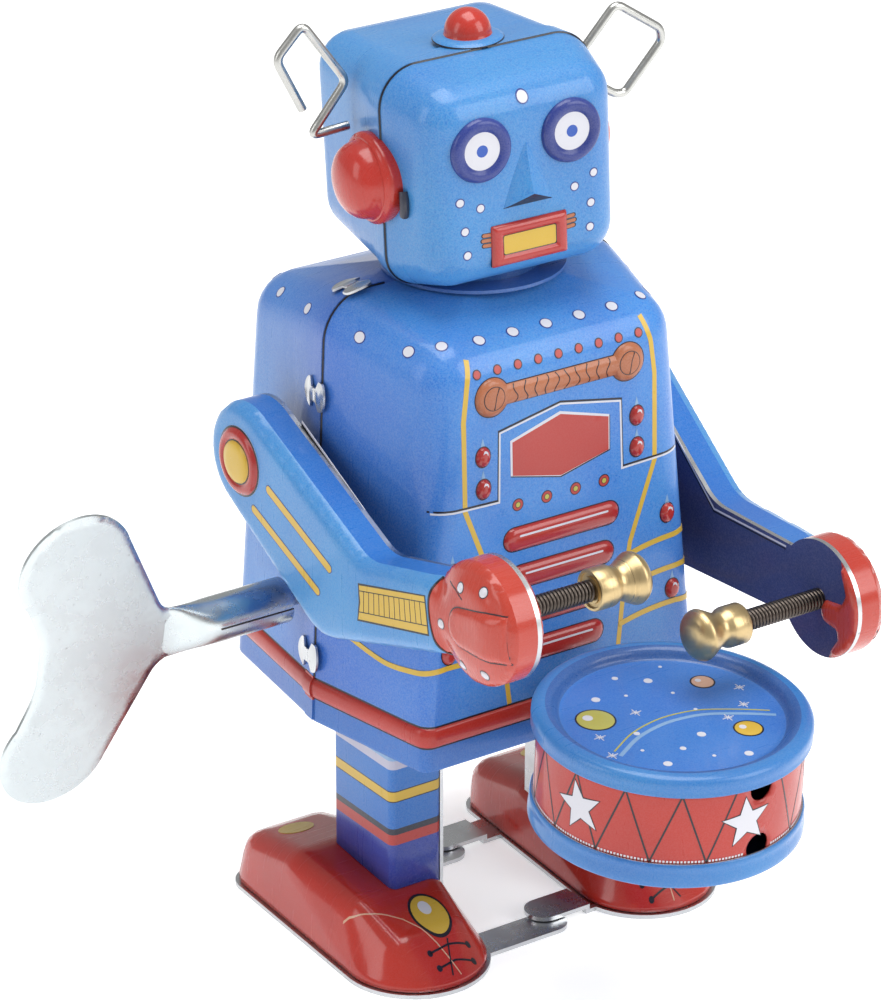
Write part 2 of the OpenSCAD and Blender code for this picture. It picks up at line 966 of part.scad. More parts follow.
module drum_base() {
    color(blue)
        in_drum()
            rotate_extrude($fn = 96)
                polygon([[0, 0], [drum_r + 0.4, 0], [drum_r + 0.8, 0.6], [drum_r + 0.6, 4.4],
                    [drum_r + 0.02, 4.4], [drum_r + 0.02, 0.98], [0, 0.98]]);
}

// Folded U bracket: its web lies behind the front shell and its cheeks enter the drum
module drum_bracket() {
    web_y = front_wall(bracket_z[1]) + 0.1;
    color(steel) {
        for (sx = [-1, 1])
            block([sx * bracket_x - steel_t / 2, 14 - drum_y, bracket_z[0]],
                [sx * bracket_x + steel_t / 2, web_y + steel_t, bracket_z[1]]);
        block([-bracket_x, web_y, bracket_z[0]], [bracket_x, web_y + steel_t, bracket_z[1]]);
    }
}

// ---------------------------------------------------------------- assembly

// The middle of the whole toy's footprint goes to the origin
translate(-footprint_mid) {
    head_front_shell();
    head_back_shell();
    head_lamp();
    ear_cap_right();
    ear_cap_left();
    antenna_right();
    antenna_left();
    neck_collar();
    torso_front_shell();
    torso_back_shell();
    motor_plate_right();
    motor_plate_left();
    plate_pillars();
    mainspring();
    winding_arbor();
    ratchet_wheel();
    winding_key();
    great_wheel();
    ratchet_click();
    crank_arbor();
    crank_wheel();
    crank_disc_right();
    crank_disc_left();
    third_arbor();
    third_wheel();
    escape_arbor();
    escape_wheel();
    escape_pallet();
    arm_shaft_right();
    arm_shaft_left();
    arm_lever_right();
    arm_lever_left();
    arm_shell_right();
    arm_shell_left();
    arm_plate_right();
    arm_plate_left();
    stick_spring_right();
    stick_spring_left();
    stick_knob_right();
    stick_knob_left();
    leg_frame_right();
    leg_frame_left();
    leg_sleeve_right();
    leg_sleeve_left();
    shoe_right();
    shoe_left();
    leg_guide_rivets();
    drum_bracket();
    drum_shell();
    drum_lid();
    drum_base();
}
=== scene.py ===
import math

import bmesh
import bpy
import numpy as np
from mathutils import Matrix, Vector
from mathutils.bvhtree import BVHTree
from mathutils.geometry import delaunay_2d_cdt


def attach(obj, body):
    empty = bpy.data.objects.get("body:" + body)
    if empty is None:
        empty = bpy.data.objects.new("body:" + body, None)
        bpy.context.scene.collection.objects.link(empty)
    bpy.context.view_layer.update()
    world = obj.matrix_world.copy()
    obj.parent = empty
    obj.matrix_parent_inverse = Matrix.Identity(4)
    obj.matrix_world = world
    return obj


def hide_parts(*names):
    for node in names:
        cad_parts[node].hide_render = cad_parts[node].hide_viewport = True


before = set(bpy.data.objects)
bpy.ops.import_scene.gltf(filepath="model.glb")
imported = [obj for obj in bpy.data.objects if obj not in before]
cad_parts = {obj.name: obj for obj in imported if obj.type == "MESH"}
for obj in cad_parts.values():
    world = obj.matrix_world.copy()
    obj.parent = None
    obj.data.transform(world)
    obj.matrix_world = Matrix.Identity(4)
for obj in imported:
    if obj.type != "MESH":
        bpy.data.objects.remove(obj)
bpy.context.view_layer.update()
SHIFT = np.array([23.2, 23.8, 0.0])     # the robot's own middle in the shared frame, mm
PI = math.pi

# ---------- materials


def lin(*rgb):
    """Linear RGBA of an 8-bit sRGB colour."""
    unit = [c / 255 for c in rgb]
    return tuple(c / 12.92 if c <= 10 / 255 else ((c + 0.055) / 1.055) ** 2.4 for c in unit) + (1,)


class Nodes:
    def __init__(self, name):
        self.mat = bpy.data.materials.new(name)
        self.mat.use_nodes = True
        self.t = self.mat.node_tree
        self.t.nodes.clear()
        self.out = self.t.nodes.new("ShaderNodeOutputMaterial")
        self.bsdf = self.t.nodes.new("ShaderNodeBsdfPrincipled")
        self.t.links.new(self.bsdf.outputs[0], self.out.inputs[0])
        self.co = self.t.nodes.new("ShaderNodeTexCoord").outputs["Object"]

    def link(self, a, b):
        self.t.links.new(a, b)

    def node(self, kind, **inputs):
        n = self.t.nodes.new("ShaderNode" + kind)
        for key, value in inputs.items():
            n.inputs[key.replace("_", " ")].default_value = value
        return n

    def stretched(self, scale, turn=(0, 0, 0)):
        m = self.node("Mapping", Scale=scale, Rotation=turn)
        self.link(self.co, m.inputs["Vector"])
        return m.outputs[0]

    def noise(self, scale, detail=3, rough=0.55, src=None):
        n = self.node("TexNoise", Scale=scale, Detail=detail, Roughness=rough)
        self.link(src or self.co, n.inputs["Vector"])
        return n.outputs["Fac"]

    def cells(self, scale):
        n = self.node("TexVoronoi", Scale=scale)
        self.link(self.co, n.inputs["Vector"])
        return n.outputs["Distance"]

    def ramp(self, fac, lo, hi, a=0.0, b=1.0):
        m = self.node("MapRange", From_Min=lo, From_Max=hi, To_Min=a, To_Max=b)
        self.link(fac, m.inputs["Value"])
        return m.outputs[0]

    def math(self, op, a, b=None):
        m = self.node("Math")
        m.operation = op
        for i, v in enumerate((a, b)):
            if isinstance(v, (int, float)):
                m.inputs[i].default_value = v
            elif v is not None:
                self.link(v, m.inputs[i])
        return m.outputs[0]

    def mix(self, fac, a, b):
        m = self.node("Mix")
        m.data_type = "RGBA"
        self.link(fac, m.inputs["Factor"])
        for socket, v in zip([i for i in m.inputs if i.type == "RGBA"], (a, b)):
            if isinstance(v, tuple):
                socket.default_value = v
            else:
                self.link(v, socket)
        return [o for o in m.outputs if o.type == "RGBA"][0]

    def axis(self, k):
        n = self.node("SeparateXYZ")
        self.link(self.co, n.inputs[0])
        return n.outputs[k]

    def bump(self, h, dist, strength=0.5):
        n = self.node("Bump", Strength=strength, Distance=dist)
        self.link(h, n.inputs["Height"])
        self.link(n.outputs[0], self.bsdf.inputs["Normal"])


TONE = 0.9  # how much deeper the inks are than their swatches


def tin(name, rgb, dark, rough=0.3, coat=0.6, airbrush_and_painted_shade=None, speck=0.16, depth=0.55):
    """Printed and varnished tin: airbrushed patches, print grain, fine scratches and rub marks; optionally
    darker towards the sides, partly airbrushed print and partly painted shade.
    """
    n = Nodes(name)
    b = n.bsdf
    rgb, dark = [c * TONE for c in rgb], [c * TONE for c in dark]
    base = n.mix(n.ramp(n.noise(38, 2), 0.38, 0.72, 0.0, depth), lin(*rgb), lin(*dark))
    # darker towards the torso's sides: partly the airbrushed print, partly painted shade
    if airbrush_and_painted_shade:
        axis, middle, lo, hi, shade_rgb, amount = airbrush_and_painted_shade
        d = n.math("SUBTRACT", n.axis(axis), middle)
        base = n.mix(n.ramp(n.math("ABSOLUTE", d), lo, hi, 0.0, amount), base, lin(*shade_rgb))
    grain = n.ramp(n.cells(3600), 0.05, 0.75, 0.0, speck)
    base = n.mix(grain, base, tuple(min(1, c * 0.5 + 0.3) for c in lin(*rgb)[:3]) + (1,))
    fine = n.ramp(n.noise(2600, 1), 0.52, 0.75, 0.0, speck * 1.6)
    base = n.mix(fine, base, lin(*dark))
    wear = n.ramp(n.noise(900, 4, 0.7), 0.735, 0.77, 0.0, 0.5)
    base = n.mix(wear, base, lin(214, 214, 214))
    n.link(base, b.inputs["Base Color"])
    scratch = n.noise(60, 5, 0.7, n.stretched((1, 14, 1.5), (0.3, 0.2, 0.7)))
    n.link(n.ramp(scratch, 0.3, 0.75, rough - 0.06, rough + 0.14), b.inputs["Roughness"])
    b.inputs["Coat Weight"].default_value = coat * 0.55
    b.inputs["Coat Roughness"].default_value = 0.1
    b.inputs["Specular IOR Level"].default_value = 0.3
    n.bump(n.noise(150, 3), 0.0002, 0.35)
    return n.mat


def metal(name, rgb, rough, cloud=0.2, lines=None, dark=(90, 90, 92), wave=0.00025):
    n = Nodes(name)
    b = n.bsdf
    b.inputs["Metallic"].default_value = 1.0
    col = n.mix(n.ramp(n.noise(55, 5, 0.65), 0.35, 0.75, 0.0, cloud), lin(*rgb), lin(*dark))
    spots = n.ramp(n.noise(700, 3, 0.6), 0.68, 0.76, 0.0, 0.55)
    col = n.mix(spots, col, lin(*[int(c * 0.55) for c in dark]))
    n.link(col, b.inputs["Base Color"])
    if lines:
        w = n.noise(1.0, 2, 0.5, n.stretched(lines))
        n.link(n.ramp(w, 0.25, 0.75, rough - 0.07, rough + 0.12), b.inputs["Roughness"])
        n.bump(w, 0.00006, 0.5)
    else:
        n.link(n.ramp(n.noise(220, 4, 0.6), 0.3, 0.75, rough - 0.06, rough + 0.14), b.inputs["Roughness"])
        n.bump(n.noise(90, 4), wave, 0.3)
    return n.mat


X0, Y0 = SHIFT[0] / 1000, SHIFT[1] / 1000
M = {
    # both torso halves darken towards the sides: partly airbrushed print, partly painted shade
    "front": tin("tin_blue_front", (50, 148, 234), (12, 100, 212), speck=0.26,
                 airbrush_and_painted_shade=(0, X0, 0.021, 0.033, (10, 84, 190), 0.75)),
    "back": tin("tin_blue_back", (46, 142, 226), (14, 98, 204), speck=0.26,
                airbrush_and_painted_shade=(1, 0.0, Y0 + 0.022, Y0, (12, 84, 182), 0.85)),
    "skirt": tin("tin_blue_skirt", (30, 118, 210), (6, 70, 176)),
    "head": tin("tin_blue_head", (46, 148, 222), (12, 102, 202), depth=0.45, speck=0.26),
    "arm": tin("tin_blue_arm", (62, 156, 226), (22, 118, 210), depth=0.45, speck=0.22),
    "arm_edge": tin("tin_blue_edge", (26, 124, 214), (10, 94, 194)),
    "plate": tin("tin_navy", (52, 68, 132), (28, 42, 96), rough=0.36, coat=0.3),
    "sleeve_low": tin("tin_blue_sleeve_low", (30, 66, 176), (18, 42, 140)),
    "strip": tin("tin_blue_strip", (46, 108, 188), (24, 74, 150)),
    "lid": tin("tin_blue_lid", (52, 132, 222), (28, 98, 200)),
    "rim": tin("tin_blue_rim", (50, 138, 212), (26, 106, 196)),
    "red": tin("tin_red", (204, 50, 36), (172, 28, 22), rough=0.24, coat=0.9, speck=0.05),
    "drum": tin("tin_red_drum", (202, 54, 40), (180, 38, 30), speck=0.07),
    "shoe": tin("tin_red_shoe", (208, 50, 34), (176, 26, 20), rough=0.2, coat=1.0, speck=0.05),
    "fist": tin("tin_red_fist", (206, 64, 44), (180, 36, 28), rough=0.24, coat=0.9, speck=0.07),
    "bead": tin("tin_red_bead", (200, 48, 34), (164, 30, 24), speck=0.06),
    "ink_red": tin("ink_red", (200, 66, 58), (178, 48, 44), speck=0.05, depth=0.4),
    "ink_gloss": tin("ink_red_gloss", (196, 48, 42), (150, 26, 28), rough=0.2, coat=1.0, speck=0.04),
    "ink_dark": tin("ink_dark", (30, 28, 42), (20, 18, 26), speck=0.02),
    "ink_navy": tin("ink_navy", (34, 58, 150), (22, 38, 112), speck=0.1),
    "ink_eye": tin("ink_eye_blue", (36, 92, 196), (30, 80, 180), speck=0.05),
    "ink_white": tin("ink_white", (236, 236, 244), (214, 216, 228), speck=0.05, depth=0.3),
    "ink_lilac": tin("ink_lilac", (208, 206, 226), (188, 186, 212), speck=0.05),
    "ink_yellow": tin("ink_yellow", (232, 192, 66), (214, 170, 48), speck=0.06, depth=0.4),
    "ink_lemon": tin("ink_lemon", (206, 200, 92), (186, 178, 70), speck=0.04),
    "ink_copper": tin("ink_copper", (196, 116, 72), (166, 86, 48), speck=0.12),
    "ink_pale": tin("ink_pale_blue", (150, 190, 232), (110, 160, 214), speck=0.08),
    "ink_peach": tin("ink_peach", (236, 190, 160), (224, 168, 140), speck=0.04),
    "stripe_dark": tin("stripe_dark", (52, 54, 70), (34, 36, 50), speck=0.05),
    "steel": metal("bright_steel", (206, 208, 210), 0.26),
    "zinc": metal("zinc_plate", (206, 213, 214), 0.24, cloud=0.14, dark=(160, 168, 172), wave=0.00005),
    "wire": metal("aerial_wire", (196, 196, 192), 0.28, lines=(300, 300, 300)),
    "brass": metal("turned_brass", (204, 180, 134), 0.32, lines=(5200, 30, 30), dark=(128, 100, 62)),
    "gear": metal("gear_brass", (200, 164, 96), 0.34, dark=(110, 84, 44)),
    "spring": metal("spring_wire", (92, 84, 78), 0.36, dark=(40, 36, 34)),
}

# ---------- mesh helpers


def add(name, V, F, mats, body, slot, nodes=(), fmat=None, sharp=38, solid=0.0, centre=None):
    """A piece from points in millimetres in the robot's own frame."""
    V = (np.asarray(V, float) + SHIFT) * 0.001
    me = bpy.data.meshes.new(name)
    me.from_pydata([tuple(v) for v in V], [], [tuple(int(i) for i in f) for f in F])
    for m in mats:
        me.materials.append(M[m])
    if fmat is not None:
        me.polygons.foreach_set("material_index", np.asarray(fmat, np.int32))
    bm = bmesh.new()
    bm.from_mesh(me)
    bmesh.ops.remove_doubles(bm, verts=bm.verts, dist=2e-7)
    bmesh.ops.dissolve_degenerate(bm, edges=bm.edges, dist=1e-8)
    bmesh.ops.recalc_face_normals(bm, faces=bm.faces)
    if centre is not None:
        c = (Vector(centre) + Vector(SHIFT)) * 0.001
        if sum((f.calc_center_median() - c).dot(f.normal) * f.calc_area() for f in bm.faces) < 0:
            bmesh.ops.reverse_faces(bm, faces=bm.faces)
    bm.to_mesh(me)
    bm.free()
    me.polygons.foreach_set("use_smooth", [True] * len(me.polygons))
    me.set_sharp_from_angle(angle=math.radians(sharp))
    ob = bpy.data.objects.new(name, me)
    bpy.context.scene.collection.objects.link(ob)
    if solid:
        s = ob.modifiers.new("thick", "SOLIDIFY")
        s.thickness = solid * 0.001
        s.offset = -1
        s.use_even_offset = True
    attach(ob, body)
    if nodes:
        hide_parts(*nodes)
    return ob


class Mesh:
    """Collects faces with materials before they become one piece."""

    def __init__(self):
        self.V, self.F, self.K, self.mats = [], [], [], []

    def put(self, V, F, mat):
        if mat not in self.mats:
            self.mats.append(mat)
        k, o = self.mats.index(mat), len(self.V)
        self.V.extend([tuple(v) for v in V])
        self.F.extend([tuple(i + o for i in f) for f in F])
        self.K.extend([k] * len(F))

    def moved(self, matrix):
        self.V = [tuple(matrix @ Vector(v)) for v in self.V]
        return self

    def piece(self, name, body, slot, nodes=(), **kw):
        return add(name, self.V, self.F, self.mats, body, slot, nodes, self.K, **kw)


def grid_faces(rows, cols, close=False):
    F = []
    for i in range(rows - 1):
        for j in range(cols if close else cols - 1):
            k = (j + 1) % cols
            F.append((i * cols + j, i * cols + k, (i + 1) * cols + k, (i + 1) * cols + j))
    return F


def lathe(profile, seg=64, place=lambda p: p, mats=None):
    """Turned shape about +Z; profile is (r, z), and mats gives a material to each step."""
    m = Mesh()
    a = np.arange(seg) * 2 * PI / seg
    rings = []
    for r, z in profile:
        rings.append([(r * math.cos(t), r * math.sin(t), z) for t in a] if r > 1e-6 else [(0, 0, z)])
    for i in range(len(rings) - 1):
        A, B = rings[i], rings[i + 1]
        V = [place(p) for p in A + B]
        if len(A) == 1 and len(B) == 1:
            continue
        if len(A) == 1:
            F = [(0, 1 + j, 1 + (j + 1) % seg) for j in range(seg)]
        elif len(B) == 1:
            F = [(j, (j + 1) % seg, seg) for j in range(seg)]
        else:
            F = [(j, (j + 1) % seg, seg + (j + 1) % seg, seg + j) for j in range(seg)]
        m.put(V, F, mats[i] if isinstance(mats, list) else mats)
    return m


def tube(path, r, seg):
    """Round wire along a path of points."""
    P = np.asarray(path, float)
    T = np.gradient(P, axis=0)
    T /= np.linalg.norm(T, axis=1)[:, None]
    up = np.array([0.0, 1.0, 0.0]) if abs(T[0][1]) < 0.9 else np.array([1.0, 0, 0])
    V = []
    N = np.cross(T[0], up)
    N /= np.linalg.norm(N)
    for p, t in zip(P, T):
        N = N - t * N.dot(t)
        N /= np.linalg.norm(N)
        B = np.cross(t, N)
        V += [tuple(p + r * (math.cos(a) * N + math.sin(a) * B)) for a in np.arange(seg) * 2 * PI / seg]
    F = grid_faces(len(P), seg, True)
    F += [tuple(range(seg))[::-1], tuple(len(V) - seg + i for i in range(seg))]
    return V, F


def filleted(points, r, n=7):
    """The polyline with its corners rounded."""
    P = [np.asarray(p, float) for p in points]
    out = [P[0]]
    for a, b, c in zip(P, P[1:], P[2:]):
        u, w = a - b, c - b
        lu, lw = np.linalg.norm(u), np.linalg.norm(w)
        d = min(r, lu * 0.45, lw * 0.45)
        s, e = b + u / lu * d, b + w / lw * d
        for t in np.linspace(0, 1, n):
            out.append((1 - t) ** 2 * s + 2 * t * (1 - t) * b + t * t * e)
    out.append(P[-1])
    res = [out[0]]
    for q in out[1:]:
        gap = np.linalg.norm(q - res[-1])
        if gap > 1e-6:
            k = max(1, int(gap / 3))
            res += [res[-1] + (q - res[-1]) * (i + 1) / k for i in range(k)]
    return res


def ball_bvh(balls):
    """Search tree of the convex body over balls that are mirrored in X."""
    B = [(s * b[0], b[1], b[2], b[3]) for b in balls for s in (-1, 1)]
    C, R = np.array([b[:3] for b in B]), np.array([b[3] for b in B])
    n = 14000
    i = np.arange(n) + 0.5
    ph, th = np.arccos(1 - 2 * i / n), PI * (1 + 5 ** 0.5) * i
    D = np.stack([np.cos(th) * np.sin(ph), np.sin(th) * np.sin(ph), np.cos(ph)], 1)
    D = np.vstack([D, np.eye(3), -np.eye(3)])
    sup = D @ C.T + R
    top = sup.max(1)
    pts = []
    for k in range(len(B)):
        m = sup[:, k] >= top - 1e-7
        pts.append(C[k] + D[m] * R[k])
    bm = bmesh.new()
    for p in np.vstack(pts):
        bm.verts.new(p)
    res = bmesh.ops.convex_hull(bm, input=bm.verts)
    bmesh.ops.delete(bm, geom=[g for g in res["geom_interior"] if isinstance(g, bmesh.types.BMVert)],
                     context="VERTS")
    tree = BVHTree.FromBMesh(bm)
    bm.free()
    return tree


def cast(tree, o, d):
    h = tree.ray_cast(Vector(o), Vector(d).normalized())
    return None if h[0] is None else np.array(h[0])


def contour(tree, c, z, a0, a1, m):
    """Points round the body at height z, closer together where it curves."""
    A = np.linspace(a0, a1, 360)
    P = [cast(tree, (c[0], c[1], z), (math.sin(a), -math.cos(a), 0)) for a in A]
    P = np.array([p if p is not None else (c[0], c[1], z) for p in P])
    d = np.diff(P, axis=0)
    L = np.linalg.norm(d, axis=1)
    ang = np.unwrap(np.arctan2(d[:, 1], d[:, 0]))
    dt = np.abs(np.gradient(ang))
    w = L / L.sum() / 2 + dt / max(dt.sum(), 1e-9) / 2
    s = np.concatenate([[0], np.cumsum(w)])
    s /= s[-1]
    t = np.interp(np.linspace(0, 1, m), s, A)
    out = []
    for a in t:
        p = cast(tree, (c[0], c[1], z), (math.sin(a), -math.cos(a), 0))
        out.append(p if p is not None else np.array((c[0], c[1], z)))
    return np.array(out)


def half_shell(tree, front, rows, c, m, bottom=False):
    """Half of a shell, in front of or behind the seam plane; rows are (z, outward offset, material)."""
    a0, a1 = (-PI / 2, PI / 2) if front else (PI / 2, 3 * PI / 2)
    out = Mesh()
    rings = []
    for z, off, mat in rows:
        P = contour(tree, c, z, a0, a1, m)
        if off:
            T = np.gradient(P, axis=0)
            N = np.stack([T[:, 1], -T[:, 0], 0 * T[:, 0]], 1)
            N /= np.linalg.norm(N, axis=1)[:, None]
            if (N[m // 2] * (P[m // 2] - np.array([c[0], c[1], z]))).sum() < 0:
                N = -N
            N[0], N[-1] = (N[0] * [1, 0, 0]), (N[-1] * [1, 0, 0])
            P = P + N * off
        rings.append(P)
    for (A, B), r in zip(zip(rings, rings[1:]), rows):
        out.put(list(A) + list(B), grid_faces(2, m), r[2])
    for k in (-1, 0) if bottom else (-1,):
        out.put(list(rings[k]), [tuple(range(m))], rows[k][2])
    return out


# ---------- flat shapes and prints


def disc(c, r, n=28, ry=None):
    return [(c[0] + r * math.cos(t), c[1] + (ry or r) * math.sin(t)) for t in np.arange(n) * 2 * PI / n]


def arc(c, r, a0, a1, n):
    return [(c[0] + r * math.cos(t), c[1] + r * math.sin(t)) for t in np.linspace(a0, a1, n)]


def box_loop(x0, x1, y0, y1, r):
    """Rectangle with rounded corners."""
    centres = (x1 - r, y0 + r), (x1 - r, y1 - r), (x0 + r, y1 - r), (x0 + r, y0 + r)
    return [p for k, c in enumerate(centres) for p in arc(c, r, (k - 1) * PI / 2, k * PI / 2, 6)]


def capsule(a, b, r):
    d = math.atan2(b[1] - a[1], b[0] - a[0])
    return arc(a, r, d + PI / 2, d + 3 * PI / 2, 12) + arc(b, r, d - PI / 2, d + PI / 2, 12)


def stroke(pts, w):
    """Outline of a line of width w through the points, with mitred corners."""
    P = [np.array(p, float) for p in pts]
    way = [(b - a) / max(np.linalg.norm(b - a), 1e-9) for a, b in zip(P, P[1:])]
    L, R = [], []
    for p, d1, d2 in zip(P, way[:1] + way, way + way[-1:]):
        t = d1 + d2
        t /= max(np.linalg.norm(t), 1e-9)
        nrm = np.array([-t[1], t[0]])
        k = 1 / max(0.5, nrm.dot(np.array([-d1[1], d1[0]])))
        L.append(tuple(p + nrm * w / 2 * k))
        R.append(tuple(p - nrm * w / 2 * k))
    return L + R[::-1]


def inside(P, loop):
    x, y = P[:, 0], P[:, 1]
    L = np.asarray(loop)
    a, b = L, np.roll(L, -1, 0)
    c = np.zeros(len(P), bool)
    for (x1, y1), (x2, y2) in zip(a, b):
        hit = ((y1 > y) != (y2 > y)) & (x < (x2 - x1) * (y - y1) / ((y2 - y1) or 1e-12) + x1)
        c ^= hit
    return c


def edge_distance(P, loops):
    best = np.full(len(P), 1e9)
    for loop in loops:
        L = np.asarray(loop)
        for p, q in zip(L, np.roll(L, -1, 0)):
            d = q - p
            t = np.clip(((P - p) @ d) / max(d @ d, 1e-12), 0, 1)
            best = np.minimum(best, np.linalg.norm(P - (p + t[:, None] * d), axis=1))
    return best


def fill(loops, step=None, keep=0.35):
    """Triangles inside the first loop and outside the others, with a lattice of inner points."""
    pts = [tuple(p) for l in loops for p in l]
    edges, o = [], 0
    for l in loops:
        edges += [(o + i, o + (i + 1) % len(l)) for i in range(len(l))]
        o += len(l)
    inner = []
    if step:
        lo, hi = np.min(loops[0], 0), np.max(loops[0], 0)
        rows = np.arange(lo[1], hi[1], step * 0.87)
        for k, y in enumerate(rows):
            inner += [(x, y) for x in np.arange(lo[0] + (k % 2) * step / 2, hi[0], step)]
    if inner:
        Q = np.array(inner)
        ok = inside(Q, loops[0])
        for h in loops[1:]:
            ok &= ~inside(Q, h)
        ok &= edge_distance(Q, loops) > keep * (step or 1)
        pts += [tuple(q) for q in Q[ok]]
    r = delaunay_2d_cdt([Vector(p) for p in pts], edges, [], 0, 1e-7)
    V = np.array([tuple(v) for v in r[0]])
    T = np.array([tuple(f) for f in r[2]])
    C = V[T].mean(1)
    ok = inside(C, loops[0])
    for h in loops[1:]:
        ok &= ~inside(C, h)
    return V, T[ok]


def split(loop, seg):
    """The loop with every edge cut into pieces no longer than seg."""
    out = []
    for a, b in zip(loop, list(loop[1:]) + [loop[0]]):
        k = max(1, math.ceil(math.hypot(b[0] - a[0], b[1] - a[1]) / seg))
        out += [(a[0] + (b[0] - a[0]) * i / k, a[1] + (b[1] - a[1]) * i / k) for i in range(k)]
    return out


def open_edges(T):
    """Edges of the triangles that only one of them has."""
    E = {(t[i], t[(i + 1) % 3]): 0 for t in T for i in range(3)}
    return [(a, b) for a, b in E if (b, a) not in E]


class Print:
    """Ink and embossing on a surface: place(u, v, h) gives a point h above it."""

    def __init__(self, place, seg=1.2):
        self.m, self.place, self.seg = Mesh(), place, seg

    def put(self, loops, mat, h=0.05, step=None, dome=None, sink=0.12):
        if not isinstance(loops, tuple):
            loops = (loops,)
        if self.seg:
            loops = tuple(split(l, self.seg) for l in loops)
        V, T = fill(list(loops), step)
        if dome:
            H, w = dome
            d = np.clip(edge_distance(V, loops) / w, 0, 1)
            top = H * np.sqrt(1 - (1 - d) ** 2)
        elif callable(h):
            top = np.array([h(*v) for v in V])
        else:
            top = np.full(len(V), 0.0)
        extra = 0.0 if callable(h) else h
        P = [self.place(v[0], v[1], t + extra) for v, t in zip(V, top)]
        if any(p is None for p in P):
            return
        n = len(P)
        base = [self.place(v[0], v[1], -sink) for v in V]
        if any(p is None for p in base):
            return
        F = [tuple(t) for t in T]
        rim = open_edges(F)
        used = sorted({i for e in rim for i in e})
        at = {v: n + k for k, v in enumerate(used)}
        P += [base[v] for v in used]
        F += [(b, a, at[a], at[b]) for a, b in rim]
        self.m.put(P, F, mat)


# ---------- torso
FRONT = [(32, 0, 42, 1.5), (22, 0, 111.8, 8.5), (27.3, -25.8, 42, 2), (18.5, -17.6, 109, 8),
         (9, -10, 115.3, 5)]
BACK = [(32, 0, 42, 1.5), (22, 0, 111.8, 8.5), (23.5, 29, 42, 6), (19, 24.5, 107, 8), (10, 8, 115.3, 5)]
t_front, t_back = ball_bvh(FRONT), ball_bvh(BACK)


def torso_rows(skin):
    rows = [(42.02, 0, "skirt"), (42.4, 0, "skirt"), (44.5, 0, "skirt"), (46.2, 0, "ink_dark")]
    for k in range(9):
        z = 46.5 + 3.5 * (1 - math.cos(PI * k / 8)) / 2
        rows.append((z, 0.7 * math.sqrt(max(0.0, 1 - ((z - 48.25) / 1.75) ** 2)), "bead"))
    rows[-1] = (50.0, 0.0, "ink_dark")
    rows += [(50.35, 0, skin)] + [(z, 0, skin) for z in np.arange(52, 102, 4)]
    rows += [(z, 0, skin) for z in (103, 105, 107, 109, 110.5, 112, 113.3, 114.5, 115.6, 116.6, 117.5,
                                    118.2, 118.8, 119.3, 119.7, 120.0, 120.18, 120.28)]
    return rows


half_shell(t_front, True, torso_rows("front"), (0, -0.01), 110).piece(
    "torso_front", "torso", "blue_tin", ["torso_front_shell"], solid=0.5, centre=(0, -8, 80))
half_shell(t_back, False, torso_rows("back"), (0, 0.01), 110).piece(
    "torso_back", "torso", "blue_tin", ["torso_back_shell"], solid=0.5, centre=(0, 8, 80))


def seam_band(tree, y0, y1, a0, a1, c, off):
    """Lapped strip beside a seam; angles run round the Y axis from the bottom on one side."""
    A = np.linspace(a0, a1, 70)
    ys = [y0, y0 + 0.15, (y0 + y1) / 2, y1 - 0.15, y1]
    lift = [0.0, off, off, off, 0.0]
    V = []
    for y, h in zip(ys, lift):
        P = np.array([cast(tree, (c[0], y, c[1]), (math.sin(a), 0, -math.cos(a))) for a in A])
        T = np.gradient(P, axis=0)
        N = np.stack([T[:, 2], 0 * T[:, 0], -T[:, 0]], 1)
        N /= np.linalg.norm(N, axis=1)[:, None]
        out = P - np.array([c[0], y, c[1]])
        N[(N * out).sum(1) < 0] *= -1
        V += list(P + N * h)
    return V, grid_faces(len(ys), len(A))


SIDES = (("right", -1), ("left", 1))
for side, s in SIDES:
    band = Mesh()
    a_low, a_top = s * math.atan2(33.0, 80 - 50.6), s * (PI - math.atan2(18.2, 40.3))
    band.put(*seam_band(t_back, 0.12, 5.0, a_low, a_top, (0, 80), 0.32), "back")
    # painted shadow: a dark strip along the front edge of the lapped seam strip
    band.put(*seam_band(t_back, -0.12, 0.14, a_low, a_top, (0, 80), 0.28), "ink_dark")
    lap = []
    for z in list(np.linspace(50.6, 46.0, 12)) + [44.0, 42.2]:
        bead = 0.7 * math.sqrt(max(0.0, 1 - ((z - 48.25) / 1.75) ** 2))
        for y, h in ((0.1, 0.0), (0.12, 0.35), (1.6, 0.38), (3.1, 0.35), (3.2, 0.0)):
            p = cast(t_back, (0, y, z), (s, 0, 0))
            lap.append((p[0] + s * (bead + h), y, z))
    band.put(lap[:60], grid_faces(12, 5), "bead")
    band.put(lap[55:], grid_faces(3, 5), "skirt")
    band.piece("torso_seam_" + side, "torso", "blue_tin", centre=(0, 2, 80))


